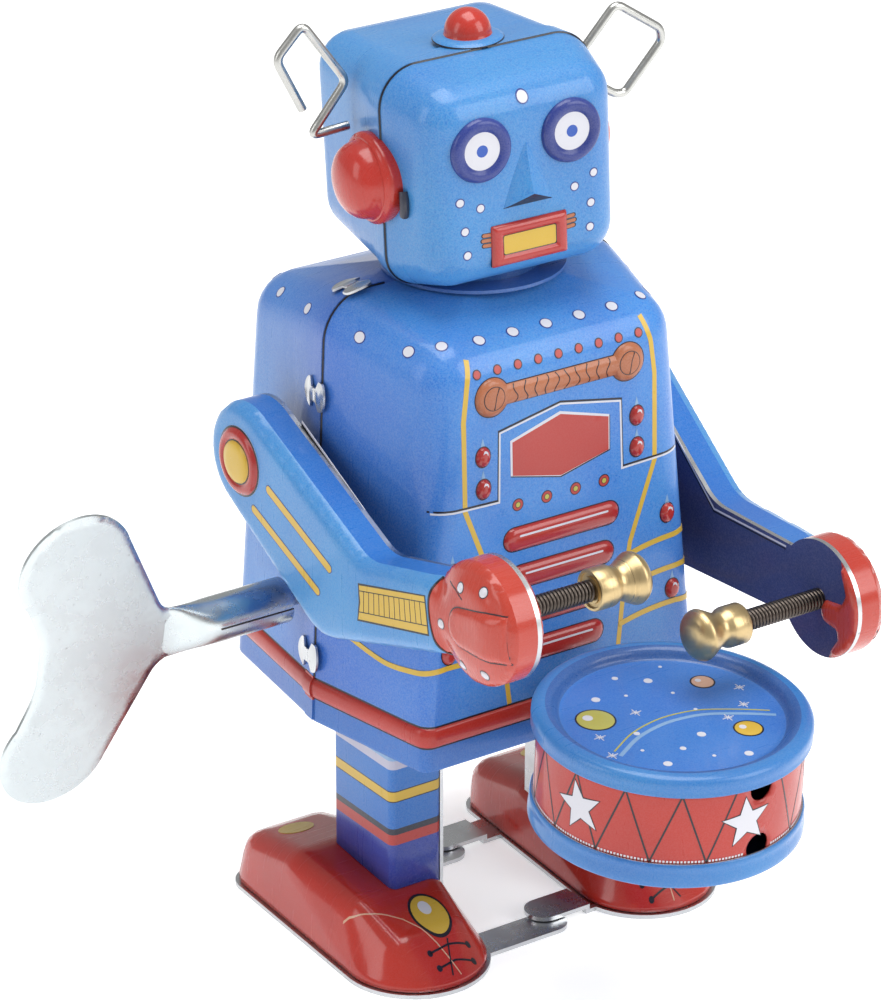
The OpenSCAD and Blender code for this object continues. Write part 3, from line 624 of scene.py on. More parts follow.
def tab(name, body, at, normal, along, size):
    """Folded tin tab: two round lobes joined by a pinched waist, bent over the lap."""
    n = Vector(normal).normalized()
    u = Vector(along).normalized()
    u = (u - n * u.dot(n)).normalized()
    v = n.cross(u)
    half = [(1.0 + 1.35 * math.sin(t) ** 0.8, 1.75 * math.cos(t)) for t in np.linspace(0, PI, 15)]
    loop = [(0.55, 0.8)] + half + [(0.55, -0.8)]
    loop = [(x * size, y * size) for x, y in loop]
    loop = loop[::-1] + [(-x, y) for x, y in loop]
    W, T = fill([loop], 0.5)

    def at3(x, y, h):
        rise = 0.12 + 0.24 * math.sin(min(abs(x), 2.4) / 2.4 * PI) - 0.1 * (abs(y) / 1.8) ** 2
        return Vector(at) + u * x + v * y + n * (rise + h)
    top = [at3(x, y, 0.4) for x, y in W]
    low = [at3(x, y, 0.0) for x, y in W]
    k = len(W)
    F = [tuple(t) for t in T] + [tuple(i + k for i in t[::-1]) for t in T]
    F += [(b, a, a + k, b + k) for a, b in open_edges(T)]
    V = [tuple(p) for p in top + low]
    rib, RF = tube([tuple(at3(0.0, y, 0.34)) for y in np.linspace(-1.1, 1.1, 7)], 0.34, 10)
    m = Mesh()
    m.put(V, F, "steel")
    m.put(rib, RF, "steel")
    return m.piece(name, body, "steel", sharp=50)


for side, s in SIDES:
    for k, a in enumerate((math.atan2(33, 26), PI - math.atan2(30, 22), PI - math.atan2(23.8, 40.2))):
        h = t_back.ray_cast(Vector((0, 1.6, 80)), Vector((s * math.sin(a), 0, -math.cos(a))))
        p, nrm = np.array(h[0]), np.array(h[1])
        nrm = nrm if nrm.dot(p - np.array([0, 1.6, 80])) > 0 else -nrm
        tab("tab_%s_%d" % (side, k), "torso", p + nrm * 0.3, nrm, (0, 1, 0), 1.55)


def raised(tree, start, ray, h, way=-1):
    """The point h above a body where a ray lands; way is 1 for a ray that starts inside."""
    hit = tree.ray_cast(Vector(start), Vector(ray))
    if hit[0] is None:
        return None
    n = np.array(hit[1])
    return np.array(hit[0]) + (n if way * n.dot(ray) > 0 else -n) * h


def front_place(u, v, h):
    return raised(t_front, (u, -60, v), (0, 1, 0), h)


ROUND = 26.0        # millimetres of print for one radian round the torso


def round_place(tree, cy):
    """u is the way round the body from the front middle, v the height."""
    def place(u, v, h):
        a = u / ROUND
        return raised(tree, (0, cy, v), (math.sin(a), -math.cos(a), 0), h, 1)
    return place


ink = Print(front_place)
for s in (-1, 1):
    line = [(17.9 * s, 114.2), (19.0 * s, 110), (19.8 * s, 104), (19.8 * s, 88), (14.5 * s, 74),
            (13.4 * s, 68), (11.3 * s, 50.4)]
    ink.put(stroke(line, 0.95), "ink_yellow", 0.035, step=3)
for k in range(9):
    x = -16.7 + 4.175 * k
    ink.put(disc((x, 111.7), 0.85), "ink_dark", 0.03)
    ink.put(disc((x, 111.7), 0.66), "ink_red", 0.05)
# ribbed hose with its two end rings
tube_h = lambda u, v: 0.75 * math.sqrt(max(0.0, 1 - (abs(v - 107.2) / 1.8) ** 2)) + 0.03
ink.put([(-12.2, 105.3), (12.2, 105.3), (12.2, 109.1), (-12.2, 109.1)], "ink_dark", 0.03)
ink.put([(-12.4, 105.45), (12.4, 105.45), (12.4, 108.95), (-12.4, 108.95)], "ink_copper", tube_h, step=0.45)
for k in range(10):
    x = -9.6 + 2.13 * k
    wave = [(x + 0.42 * math.sin((z - 105.5) * 1.7 + k), z) for z in np.linspace(105.5, 108.9, 13)]
    ink.put(stroke(wave, 0.16), "ink_dark", lambda u, v: tube_h(u, v) + 0.05, step=0.6)
for s in (-1, 1):
    c = (14 * s, 107.2)
    ink.put(disc(c, 3.55, 40), "ink_dark", 0.04)
    ink.put(disc(c, 3.4, 40), "ink_copper", 0.06, step=0.5, dome=(0.75, 1.5))
    ink.put(disc(c, 2.15, 32), "ink_dark", 0.83)
    ink.put(disc(c, 2.0, 32), "ink_copper", 0.86, step=0.5, dome=(0.12, 1.2))
    ink.put(stroke([(c[0] + 0.9, c[1] + 1.75), (c[0] + 0.35, c[1] + 0.4), (c[0] - 0.1, c[1] - 1.9)], 0.16),
            "ink_dark", 1.0)
# stepped outline and the red hexagon
panel = [(-26, 88.6), (-13, 88.2), (-12.7, 100.6), (0, 103), (12.7, 100.6), (13, 88.2), (26, 88.6)]
ink.put(stroke([(x, z + 0.22) for x, z in panel], 0.34), "ink_dark", 0.045, step=3)
ink.put(stroke([(x * 0.986, z - 0.16) for x, z in panel], 0.34), "ink_white", 0.05, step=3)
hexa = [(-10, 92.2), (-10, 98.2), (0, 101), (10, 98.2), (10, 92.2), (0, 89.9)]
ink.put([(x * 1.035, 95.4 + (z - 95.4) * 1.07) for x, z in hexa], "ink_dark", 0.03)
ink.put([(x * 1.03 - 0.12, 95.6 + (z - 95.4) * 1.06) for x, z in hexa], "ink_white", 0.05)
ink.put(hexa, "ink_red", 0.07, step=2)
# raised jewels, each with a pale painted highlight above it and a white painted highlight dot on its dome
for x, z in ((16, 97), (16, 91.2), (22.5, 77.4), (23.6, 62.9)):
    for s in (-1, 1):
        c = (x * s, z)
        # pale painted highlight above the jewel
        painted_glint = [(c[0] - 1.3, z + 1.1), (c[0] - 0.5, z + 1.7), (c[0], z + 3.4), (c[0] + 0.45, z + 1.7),
                 (c[0] + 1.3, z + 1.1)]
        ink.put(painted_glint, "ink_pale", 0.04, step=0.8)
        ink.put(disc(c, 1.62, 30, 1.95), "ink_dark", 0.05)
        ink.put(disc(c, 1.45, 30, 1.78), "ink_gloss", 0.07, step=0.4, dome=(0.8, 1.4))
        # white painted highlight dot on the jewel's dome
        ink.put(disc((c[0] + 0.1, z + 0.65), 0.5, 14, 0.62), "ink_white", 0.8)
for x in (-9, -3, 3, 9):
    for r, mat, h in ((1.15, "ink_dark", 0.03), (0.98, "ink_red", 0.05), (0.55, "ink_dark", 0.07),
                      (0.44, "ink_lemon", 0.09)):
        ink.put(disc((x, 86.7), r, 24), mat, h)
# four embossed bars, each with a white painted highlight line along its top
for w, z in ((12.1, 80.5), (11, 73.4), (9.9, 66.3), (8.7, 59.3)):
    ink.put(capsule((-w + 2.2, z), (w - 2.2, z), 2.3), "ink_dark", 0.03)
    ink.put(capsule((-w + 2.2, z), (w - 2.2, z), 2.12), "ink_gloss", 0.05, step=0.45, dome=(0.85, 2.1))
    # white painted highlight line along the top of the bar
    ink.put(capsule((-w + 3, z + 0.75), (w - 3, z + 0.75), 0.17), "ink_white", 0.9)
ink.m.piece("chest_print", "torso", "red_tin")

BAND_END = 1.7      # where the side bands end, in radians round from the front
wrap = Print(round_place(t_front, -8), 0.7)
for s in (-1, 1):
    for z, x0 in ((71.6, 14.1), (65.6, 13.1), (59.0, 12.0)):
        a0 = math.atan2(x0, 19.2)
        wave = []
        for t in np.linspace(0, 1, 31):
            a = a0 + t * (BAND_END - a0)
            first_rise = 1.5 * math.sin(min(1.0, t * 3.2) * PI / 2)
            dip = -1.3 * math.sin(max(0.0, t - 0.3) / 0.7 * PI)
            last_rise = 1.8 * max(0.0, t - 0.62) / 0.38
            wave.append((s * a * ROUND, z + first_rise + dip + last_rise))
        wrap.put(stroke(wave, 0.95), "ink_yellow", 0.13, step=0.9, sink=0.2)
wrap.m.piece("side_bands", "torso", "blue_tin")


def stamp(pr, tree, at, r, layers):
    """Round spot centred on the surface point nearest to at."""
    hit = tree.find_nearest(Vector(at))
    c, n = Vector(hit[0]), Vector(hit[1])
    u = n.cross(Vector((0, 0, 1))) if abs(n.z) < 0.9 else n.cross(Vector((0, 1, 0)))
    u.normalize()
    v = n.cross(u)

    def place(a, b, h):
        q = tree.find_nearest(c + u * a + v * b + n * 0.5)
        return np.array(q[0]) + np.array(q[1]) * h
    pr.place = place
    for k, mat, h in layers:
        pr.put(disc((0, 0), r * k, 24), mat, h, step=0.7)


studs = Print(None)
RIVET = ((1.2, "ink_navy", 0.03), (1.0, "ink_white", 0.06))
stamp(studs, t_front, (0, -22, 117), 1.0, RIVET)
for s in (-1, 1):
    for x, y, z in ((6.85, -22, 117), (13.7, -22, 117), (20.6, -20.5, 116.4), (25.8, -17.2, 116),
                    (28.6, -7.3, 115.4)):
        stamp(studs, t_front, (x * s, y, z), 1.0, RIVET)
    for x, y, z in ((28.6, 9.3, 115.4), (26.4, 22.0, 114.4), (21, 30, 113), (13.5, 31.5, 113.4),
                    (6.8, 31.8, 113.4)):
        stamp(studs, t_back, (x * s, y, z), 1.0, RIVET)
stamp(studs, t_back, (0, 31.8, 113.4), 1.0, RIVET)
studs.m.piece("rivet_print", "torso", "blue_tin")

# ---------- head
YAW, ROLL, HEAD_Z = -6, -2.5, 122.2     # the head's turn and lean in degrees, and the height of its foot
HEAD = (Matrix.Rotation(math.radians(YAW), 4, "Z") @ Matrix.Translation((0, 0, HEAD_Z))
        @ Matrix.Rotation(math.radians(ROLL), 4, "Y") @ Matrix.Translation((0, 0, -HEAD_Z)))
HS = -6.8                               # Y of the head's seam
SEAM = [(14, HS, 128.2, 6), (13, HS, 153.7, 7)]
t_face = ball_bvh(SEAM + [(12, -13.5, 130.2, 6.5), (12, -13.5, 152.7, 6.5)])
t_nape = ball_bvh(SEAM + [(12, 17, 129.8, 6.1), (12, 17, 153.1, 6.3)])


low = [122.22, 122.3, 122.5, 122.8, 123.2, 123.8, 124.4, 125.1, 126, 127, 128.3, 129.6, 131, 133]
head_rows = [(z, 0, "head") for z in low + list(np.arange(137, 150, 4)) + [151, 152.6, 153.9, 155.1, 156.2,
                                                                           157.2, 158, 158.8, 159.4, 159.9,
                                                                           160.25, 160.5, 160.62, 160.68]]
half_shell(t_face, True, head_rows, (0, HS - 0.01), 90, bottom=True).moved(HEAD).piece(
    "head_front", "head", "blue_tin", ["head_front_shell"], solid=0.5, centre=(0, -12, 141))
half_shell(t_nape, False, head_rows, (0, HS + 0.01), 90, bottom=True).moved(HEAD).piece(
    "head_back", "head", "blue_tin", ["head_back_shell"], solid=0.5, centre=(0, 3, 141))
for side, s in SIDES:
    band = Mesh()
    a_low, a_top = s * 0.55, s * (PI - 0.03)
    band.put(*seam_band(t_nape, HS + 0.1, HS + 4.6, a_low, a_top, (0, 141), 0.34), "head")
    # painted shadow: a dark strip along the front edge of the lapped seam strip
    band.put(*seam_band(t_nape, HS - 0.12, HS + 0.14, a_low, a_top, (0, 141), 0.3), "ink_dark")
    band.moved(HEAD).piece("head_seam_" + side, "head", "blue_tin", centre=(0, 2, 141))


def face_place(u, v, h):
    hit = t_face.ray_cast(Vector((u, -50, v)), Vector((0, 1, 0)))
    return None if hit[0] is None else np.array(hit[0]) + np.array([0, -1.0, 0]) * h


face = Print(face_place)
face.put(disc((0, 156), 1.15), "ink_navy", 0.06, step=0.35)
face.put(disc((0, 156), 0.95), "ink_white", 0.1, step=0.35)
for x, z in ((12.7, 140.2), (8.95, 138.5), (12, 135), (11.7, 130.7)):
    for s in (-1, 1):
        face.put(disc((x * s, z), 0.85, 22), "ink_navy", 0.03)
        face.put(disc((x * s, z), 0.66, 22), "ink_white", 0.05)
for s in (-1, 1):
    for k in range(3):
        z = 131.6 + k * 0.9
        face.put(capsule((7.0 * s, z), ((8.6 + 0.2 * (k == 1)) * s, z + 0.12), 0.42), "ink_dark", 0.03)
        face.put(capsule((7.0 * s, z), ((8.5 + 0.2 * (k == 1)) * s, z + 0.12), 0.3), "ink_copper", 0.05)
face.m.moved(HEAD).piece("face_print", "head", "blue_tin")

for side, s in SIDES:
    eye = [(0, 0.5), (1.05, 0.5), (1.05, 0.51), (1.15, 0.5), (2.0, 0.5), (2.02, 0.5), (3.15, 0.5),
           (3.3, 0.5), (3.45, 0.62),
           (3.8, 0.86), (4.3, 0.98), (4.8, 0.95), (5.2, 0.78), (5.45, 0.5), (5.6, 0.0), (5.6, -0.3)]
    mats = ["ink_eye"] * 2 + ["ink_white"] * 5 + ["ink_navy"] * 8
    m = lathe(eye, 56, lambda p, s=s: (s * 8.5 + p[0], -20.0 - p[2], 148.6 + p[1]), mats)
    m.moved(HEAD).piece("eye_" + side, "head", "blue_tin", sharp=60)

# nose: a folded wedge, open below the tip, where a dark sheet is painted shade
nose = Mesh()
rows = []
for t in np.linspace(0, 1, 16):
    row = []
    for u in np.linspace(-1, 1, 17):
        side_x = 4.9 * u * t ** 0.85
        w = 1 - abs(u)
        y = -19.85 - 2.5 * t * w ** 0.9
        z = 149.2 - 11.8 * t + 2.5 * w * t ** 4
        row.append((side_x, y, z))
    rows += row
nose.put(rows, grid_faces(16, 17), "head")
rim = rows[-17:]
back = [(x * 0.96, -20.06, 137.5) for x, _, _ in rim]
# painted shade: a dark sheet closing the hollow under the nose
nose.put(rim + back, grid_faces(2, 17), "ink_dark")
nose.moved(HEAD).piece("nose", "head", "blue_tin", sharp=40, centre=(0, -15, 141))

mouth = Mesh()
prof = [(7.25, 3.75, -0.2, "ink_dark"), (7.2, 3.7, 0.1, "ink_gloss"), (7.0, 3.5, 0.55, "ink_gloss"),
        (6.6, 3.1, 0.85, "ink_gloss"),
        (5.7, 2.35, 0.9, "ink_gloss"), (5.35, 2.0, 0.75, "ink_gloss"), (5.1, 1.8, 0.42, "ink_dark"),
        (4.95, 1.65, 0.4, "ink_yellow")]


rings = [[(x, -19.95 - h, 131.15 + z) for x, z in box_loop(-w, w, -hh, hh, 0.35)]
         for w, hh, h, _ in prof]
for A, B, p in zip(rings, rings[1:], prof):
    mouth.put(A + B, grid_faces(2, len(A), True), p[3])
mouth.put(rings[-1], [tuple(range(len(rings[-1])))], "ink_yellow")
mouth.moved(HEAD).piece("mouth", "head", "red_tin", sharp=50, centre=(0, -15, 131))

EAR_AT = {"right": (-4.2, 141.5), "left": (1.8, 139.0)}
for side, s in SIDES:
    ear = [(0, 7.0), (1.2, 6.95), (2.4, 6.78), (3.6, 6.45), (4.6, 6.0), (5.4, 5.4), (6.0, 4.7), (6.4, 3.9),
           (6.62, 3.1), (6.75, 2.5),
           (6.95, 2.2), (7.2, 2.15), (7.35, 1.95), (7.45, 1.8), (7.75, 1.6), (7.9, 1.2), (7.9, 0.6),
           (7.8, 0.2), (7.75, -1.3)]
    y, z = EAR_AT[side]
    m = lathe(ear, 72, lambda p: (s * (20 + p[2]), y + p[0], z + p[1]), "red")
    m.moved(HEAD).piece("ear_" + side, "head", "red_tin", ["ear_cap_" + side], centre=(s * 19, y, z))
    lug, bow = Mesh(), ((19.2, -8.2, -4.5), (19.4, -8.7, -3.3), (19.4, -8.7, -1.5), (19.2, -8.2, -0.3))
    lug.put(*tube([(s * x, y + dy, z + dz) for x, dy, dz in bow], 0.8, 12), "stripe_dark")
    lug.moved(HEAD).piece("ear_lug_" + side, "head", "dark_tin")

lamp = [(4.75, 0), (4.8, 0.3), (4.6, 0.7), (4.2, 0.9), (4.1, 1.3)]
lamp += [(4.0 * math.cos(a), 1.5 + 4.1 * math.sin(a)) for a in np.linspace(0.0, PI / 2 - 0.001, 14)] + [(0,
                                                                                                         5.6)]
lamp_at = lambda p: (p[0], p[1] - 1.1, 160.6 + p[2])
lathe(lamp, 64, lamp_at, "red").moved(HEAD).piece("lamp", "head", "red_tin", ["head_lamp"], sharp=50)
ring = [(4.05, 1.0), (4.1, 1.22), (5.2, 1.0), (6.0, 0.62), (6.1, 0.45), (5.2, 0.8), (4.05, 1.0)]
lathe(ring, 64, lamp_at, ["head"] * 3 + ["ink_dark"] * 3).moved(HEAD).piece(
    "lamp_strap", "head", "blue_tin", sharp=50)

AERIALS = {"right": [(-20.5, 148.1), (-27.6, 147.7), (-20.4, 156), (-28, 167.3), (-33.2, 162.2),
                     (-28.8, 152.6)],
           "left": [(20.5, 148.1), (24.5, 147.6), (31, 143), (33, 142.7), (40.6, 150.7), (40.4, 153),
                    (31.7, 159.2), (24.2, 151.4)]}
for side, path in AERIALS.items():
    m = Mesh()
    m.put(*tube(filleted([(x, 4.2, z) for x, z in path], 1.6), 0.78, 16), "wire")
    m.moved(HEAD).piece("aerial_" + side, "head", "bright_wire", ["antenna_" + side], sharp=60)

# ---------- arms


def arm_matrix(s, lift):
    m = Matrix.Translation((0, 9.8, 89.8)) @ Matrix.Rotation(math.radians(-lift), 4, "X")
    return Matrix.Diagonal((s, 1, 1, 1)) @ m


FIST, FR = (-66.5, -13.0), 10.5


def arm_loop():
    """Outline of the arm in (Y, Z) about the shoulder: round shoulder, bent elbow, round fist."""
    n = (-10.2 * math.sin(math.radians(33.5)), 10.2 * math.cos(math.radians(33.5)))
    a_top, a_low = math.atan2(n[1], n[0]), math.atan2(-n[1], -n[0])
    shoulder = arc((0, 0), 10.2, a_low, a_top, 30)
    wt, wl = (-57.4, -6.8), (-58.5, -20.6)
    f0, f1 = math.atan2(wt[1] - FIST[1], wt[0] - FIST[0]), math.atan2(wl[1] - FIST[1], wl[0] - FIST[0])
    fist = arc(FIST, FR, f0, f1 + 2 * PI if f1 < f0 else f1, 54)
    upper = filleted([(n[0], n[1]), (-36.2, -9.8), fist[0]], 3.0, 8)[1:-1]
    lower = filleted([fist[-1], (-20.5, -27.2), (-n[0], -n[1])], 4.5, 9)[1:-1]
    return shoulder + [tuple(p) for p in upper] + fist + [tuple(p) for p in lower]


ARM = arm_loop()
R_EDGE, X_IN, X_OUT = 2.3, 34.5, 41.6       # edge radius, and the outer shell's inner and outer X
PLATE_X = (34.0, 34.5)
rim_pts = [p for p in ARM if abs(math.hypot(p[0] - FIST[0], p[1] - FIST[1]) - FR) < 0.02]
w0 = math.atan2(rim_pts[-1][1] - FIST[1], rim_pts[-1][0] - FIST[0])
w1 = math.atan2(rim_pts[0][1] - FIST[1], rim_pts[0][0] - FIST[0])
WRIST = arc(FIST, FR, w0, w1 if w1 > w0 else w1 + 2 * PI, 22)
k0, k1 = ARM.index(rim_pts[0]), ARM.index(rim_pts[-1])
HAND_LOOP = rim_pts + WRIST[1:-1]
BLUE_LOOP = ARM[:k0 + 1] + WRIST[1:-1][::-1] + ARM[k1:]


def arm_height(P):
    """Height of the pressed outer face: a tight edge on the arm, a full one on the hand."""
    rf = np.hypot(P[:, 0] - FIST[0], P[:, 1] - FIST[1])
    k = np.clip((FR + 1.5 - rf) / 4.0, 0, 1)
    r = R_EDGE + (6.4 - R_EDGE) * k * k * (3 - 2 * k)
    deep = R_EDGE + (4.6 - R_EDGE) * k * k * (3 - 2 * k)
    d = np.clip(edge_distance(P, [ARM]) / r, 0, 1)
    h = X_OUT - deep + deep * np.sqrt(1 - (1 - d) ** 2)
    return h


arm_V, arm_T = fill([BLUE_LOOP], 0.95, keep=0.28)
hand_V, hand_T = fill([HAND_LOOP], 0.7, keep=0.3)


def make_arm(side, s, lift):
    A = arm_matrix(s, lift)
    body = side + "_arm"
    m = Mesh()
    for mat, PV, PT in (("arm", arm_V, arm_T), ("fist", hand_V, hand_T)):
        m.put([(x, y, z) for x, (y, z) in zip(arm_height(PV), PV)], [tuple(t) for t in PT], mat)
    hb = arm_height(np.array(ARM))
    n = len(ARM)
    for lo, hi, top in ((X_IN, X_IN + 0.35, False), (X_IN + 0.35, None, True)):
        W = [(lo, y, z) for y, z in ARM] + [((hi if hi else hb[i]), y, z) for i, (y, z) in enumerate(ARM)]
        F = grid_faces(2, n, True)
        mid = (np.array(ARM) + np.roll(ARM, -1, 0)) / 2 - FIST
        isf = np.hypot(mid[:, 0], mid[:, 1]) < FR + 0.4
        m.put(W, [f for f, q in zip(F, isf) if q], "steel" if not top else "fist")
        m.put(W, [f for f, q in zip(F, isf) if not q], "steel" if not top else "arm_edge")
    m.moved(A).piece("arm_" + side, body, "blue_tin", ["arm_shell_" + side], sharp=42)

    def place(u, v, hh):
        x = arm_height(np.array([[u, v]]))[0]
        return tuple(A @ Vector((x + hh, u, v)))
    pr = Print(place)
    for a, b, r in (((-8.9, -3.2), (-26.3, -12.9), 0.75), ((-3.5, -7.9), (-22.0, -18.0), 0.72)):
        pr.put(capsule(a, b, r + 0.17), "ink_navy", 0.03, step=2)
        pr.put(capsule(a, b, r), "ink_yellow", 0.05, step=2)
    q = [np.array(p) for p in ((-35.4, -13.6), (-55.0, -10.6), (-55.3, -17.0), (-34.4, -19.8))]
    grow = ((0.3, 0.3), (-0.3, 0.25), (-0.3, -0.3), (0.4, -0.4))
    pr.put([tuple(c + g) for c, g in zip(q, grow)] + [(-34.9, -16.6)], "ink_dark", 0.03, step=2)
    pr.put([tuple(c) for c in q] + [(-35.4, -16.6)], "ink_yellow", 0.05, step=2)
    for t in (0.16, 0.78):
        a, b = q[0] * (1 - t) + q[3] * t, q[1] * (1 - t) + q[2] * t
        pr.put(stroke([tuple(a), tuple(b)], 0.16), "ink_dark", 0.07, step=2)
    for k in range(1, 13):
        t = k / 13
        a, b = q[0] * (1 - t) + q[1] * t, q[3] * (1 - t) + q[2] * t
        pr.put(stroke([tuple(a * 0.84 + b * 0.16), tuple(a * 0.22 + b * 0.78)], 0.16), "ink_dark", 0.07)
    for u, v in ((-65.3, -6.6), (-70.9, -6.2), (-59.4, -14.2), (-63.6, -20.4), (-69.6, -20.6)):
        pr.put(disc((u, v), 0.95, 22), "stripe_dark", 0.03)
        pr.put(disc((u, v), 0.78, 22), "ink_white", 0.05, step=0.4, dome=(0.35, 0.7))
    # folded finger, its dark outline, and the line round the wrist
    for grow, mat, h, dome in ((0.22, "ink_dark", 0.05, None), (0.0, "fist", 0.07, (0.85, 1.7))):
        tip = arc((-65.4, -13.4), 3.4 + grow, PI / 2, -PI / 2, 16)
        finger = [(-75.9, -9.4 + grow), (-72, -9.3 + grow),
                  (-69, -9.6 + grow)] + tip + [(-69, -17.2 - grow), (-72, -17.6 - grow),
                                               (-75.8, -17.4 - grow)]
        pr.put(finger, mat, h, step=0.6, dome=dome)
    pr.put(stroke([(-61.5, -6.6), (-64, -7.2), (-66, -8.4)], 0.18), "ink_dark", 0.05, step=0.6)
    pr.put(stroke(WRIST, 0.34), "ink_dark", 0.1, step=0.5)
    pr.m.piece("arm_print_" + side, body, "blue_tin")

    boss = [(6.3, -0.15), (6.3, 0.08), (5.95, 0.14), (5.75, 0.5), (5.3, 0.82), (4.7, 0.92), (4.25, 0.8),
            (4.05, 0.62), (3.8, 0.66),
            (3.65, 0.95), (3.1, 1.18), (2.0, 1.28), (0, 1.3)]
    mats = ["ink_white", "ink_dark"] + ["ink_gloss"] * 5 + ["ink_dark"] + ["ink_yellow"] * 4
    lathe(boss, 56, lambda p: tuple(A @ Vector((X_OUT + p[2], p[0], p[1]))), mats).piece("boss_" + side,
                                                                                         body, "red_tin",
                                                                                         sharp=60)
    # inner plate
    Wv, Wt = fill([ARM], 6)
    m = Mesh()
    n = len(Wv)
    m.put([(x, y, z) for x in PLATE_X for y, z in Wv], [tuple(t) for t in np.vstack([Wt, Wt + n])], "plate")
    m.put([(x, y, z) for x in PLATE_X for y, z in ARM], grid_faces(2, len(ARM), True), "steel")
    m.moved(A).piece("arm_plate_print_" + side, body, "dark_tin", ["arm_plate_" + side], sharp=30)
    edge = Print(lambda u, v, hh: tuple(A @ Vector((PLATE_X[0] - hh, u, v))))
    up = [(-9.0, 7.3), (-36.6, -10.8), (-56.5, -8.0)]
    edge.put(stroke(up, 0.35), "ink_white", 0.03, step=3)
    edge.put(stroke([(u, v - 0.5) for u, v in up], 0.3), "ink_dark", 0.02, step=3)
    front = [p for p in arc(FIST, FR - 0.05, 0, 2 * PI, 73)[:-1] if p[0] < -70.6]
    front = sorted(front, key=lambda p: -math.atan2(p[1] - FIST[1], -(p[0] - FIST[0])))
    fold = front + [(-71.4, -20.4), (-72.6, -18.0), (-72.2, -16.4)] + arc((-69.6, -14.2), 2.2, -PI / 2,
                                                                          PI / 2, 9) + [(-72.4, -11.2),
                                                                                        (-73.2, -9.0),
                                                                                        (-71.6, -5.6)]
    edge.put(fold, "fist", 0.06, step=0.7, dome=(0.7, 1.2))
    edge.m.piece("arm_edge_print_" + side, body, "dark_tin")
    # close-wound spring and turned knob
    turns, per_turn, x0, x1 = 34, 18, 17.0, 41.0
    steps = turns * per_turn
    path = [(x0 + (x1 - x0) * k / steps, FIST[0] + 1.56 * math.cos(k / per_turn * 2 * PI),
             FIST[1] + 1.56 * math.sin(k / per_turn * 2 * PI)) for k in range(steps + 1)]
    m = Mesh()
    m.put(*tube(path, 0.33, 6), "spring")
    m.put(*tube([(x, FIST[0], FIST[1]) for x in (16.9, 24, 32, 41.05)], 1.3, 16), "spring")
    m.moved(A).piece("stick_coil_" + side, body, "spring_steel", ["stick_spring_" + side], sharp=60)
    knob = [(0, 0), (2.3, 0), (2.35, 0.35), (2.9, 0.35), (3.05, 0.0), (3.45, 0.0), (3.6, 0.25), (3.6, 3.2),
            (3.5, 3.7), (3.15, 4.3),
            (3.0, 4.8), (3.1, 5.5), (3.45, 6.3), (3.95, 7.2), (4.4, 8.1), (4.5, 8.4), (4.5, 8.7),
            (4.3, 9.3), (3.85, 9.9), (3.1, 10.4),
            (1.9, 10.75), (0, 10.88)]
    lathe(knob, 72, lambda p: tuple(A @ Vector((17.0 - p[2], FIST[0] + p[0], FIST[1] + p[1]))),
          "brass").piece(
        "knob_" + side, body, "brass", ["stick_knob_" + side], sharp=50)


make_arm("right", -1, 7)
make_arm("left", 1, -7)

# ---------- legs
STRIPES = [(46.0, "ink_pale"), (45.7, "ink_pale"), (37.4, "ink_lilac"), (35.7, "arm_edge"),
           (31.5, "ink_dark"), (31.3, "ink_yellow"),
           (29.5, "ink_dark"), (29.3, "arm_edge"), (24.1, "stripe_dark"), (22.9, "ink_red"),
           (20.9, "sleeve_low"), (8.0, None)]


def shoe_bvh(s):
    balls = [(5.5, 20.1, 6, 4.6), (6.6, 5, 9.6, 4.4), (6, -12, 7.8, 4.6), (4, -19.4, 2.4, 7)]
    V = []
    U = [Vector((math.sin(b) * math.cos(a), math.sin(b) * math.sin(a), math.cos(b)))
         for b in np.linspace(0.02, PI - 0.02, 26) for a in np.linspace(0, 2 * PI, 42, endpoint=False)]
    for x, y, z, r in balls:
        for q in (-1, 1):
            for u in U:
                p = Vector((q * x + 0.6, y, z)) + u * r
                if p.z > 0.8:
                    V.append(p)
    for a in np.linspace(0, 2 * PI, 96, endpoint=False):
        for c, r in (((0.5, -18.4), 13.5 - 0.7), ((6.6, 20.6), 4.8), ((-4.6, 20.6), 4.8)):
            for z in (0.8, 1.8):
                V.append(Vector((c[0] + r * math.cos(a), c[1] + r * math.sin(a), z)))
    bm = bmesh.new()
    for v in V:
        bm.verts.new((s * (v.x + 24.5), v.y, v.z))
    bmesh.ops.convex_hull(bm, input=bm.verts)
    tree = BVHTree.FromBMesh(bm)
    bm.free()
    return tree


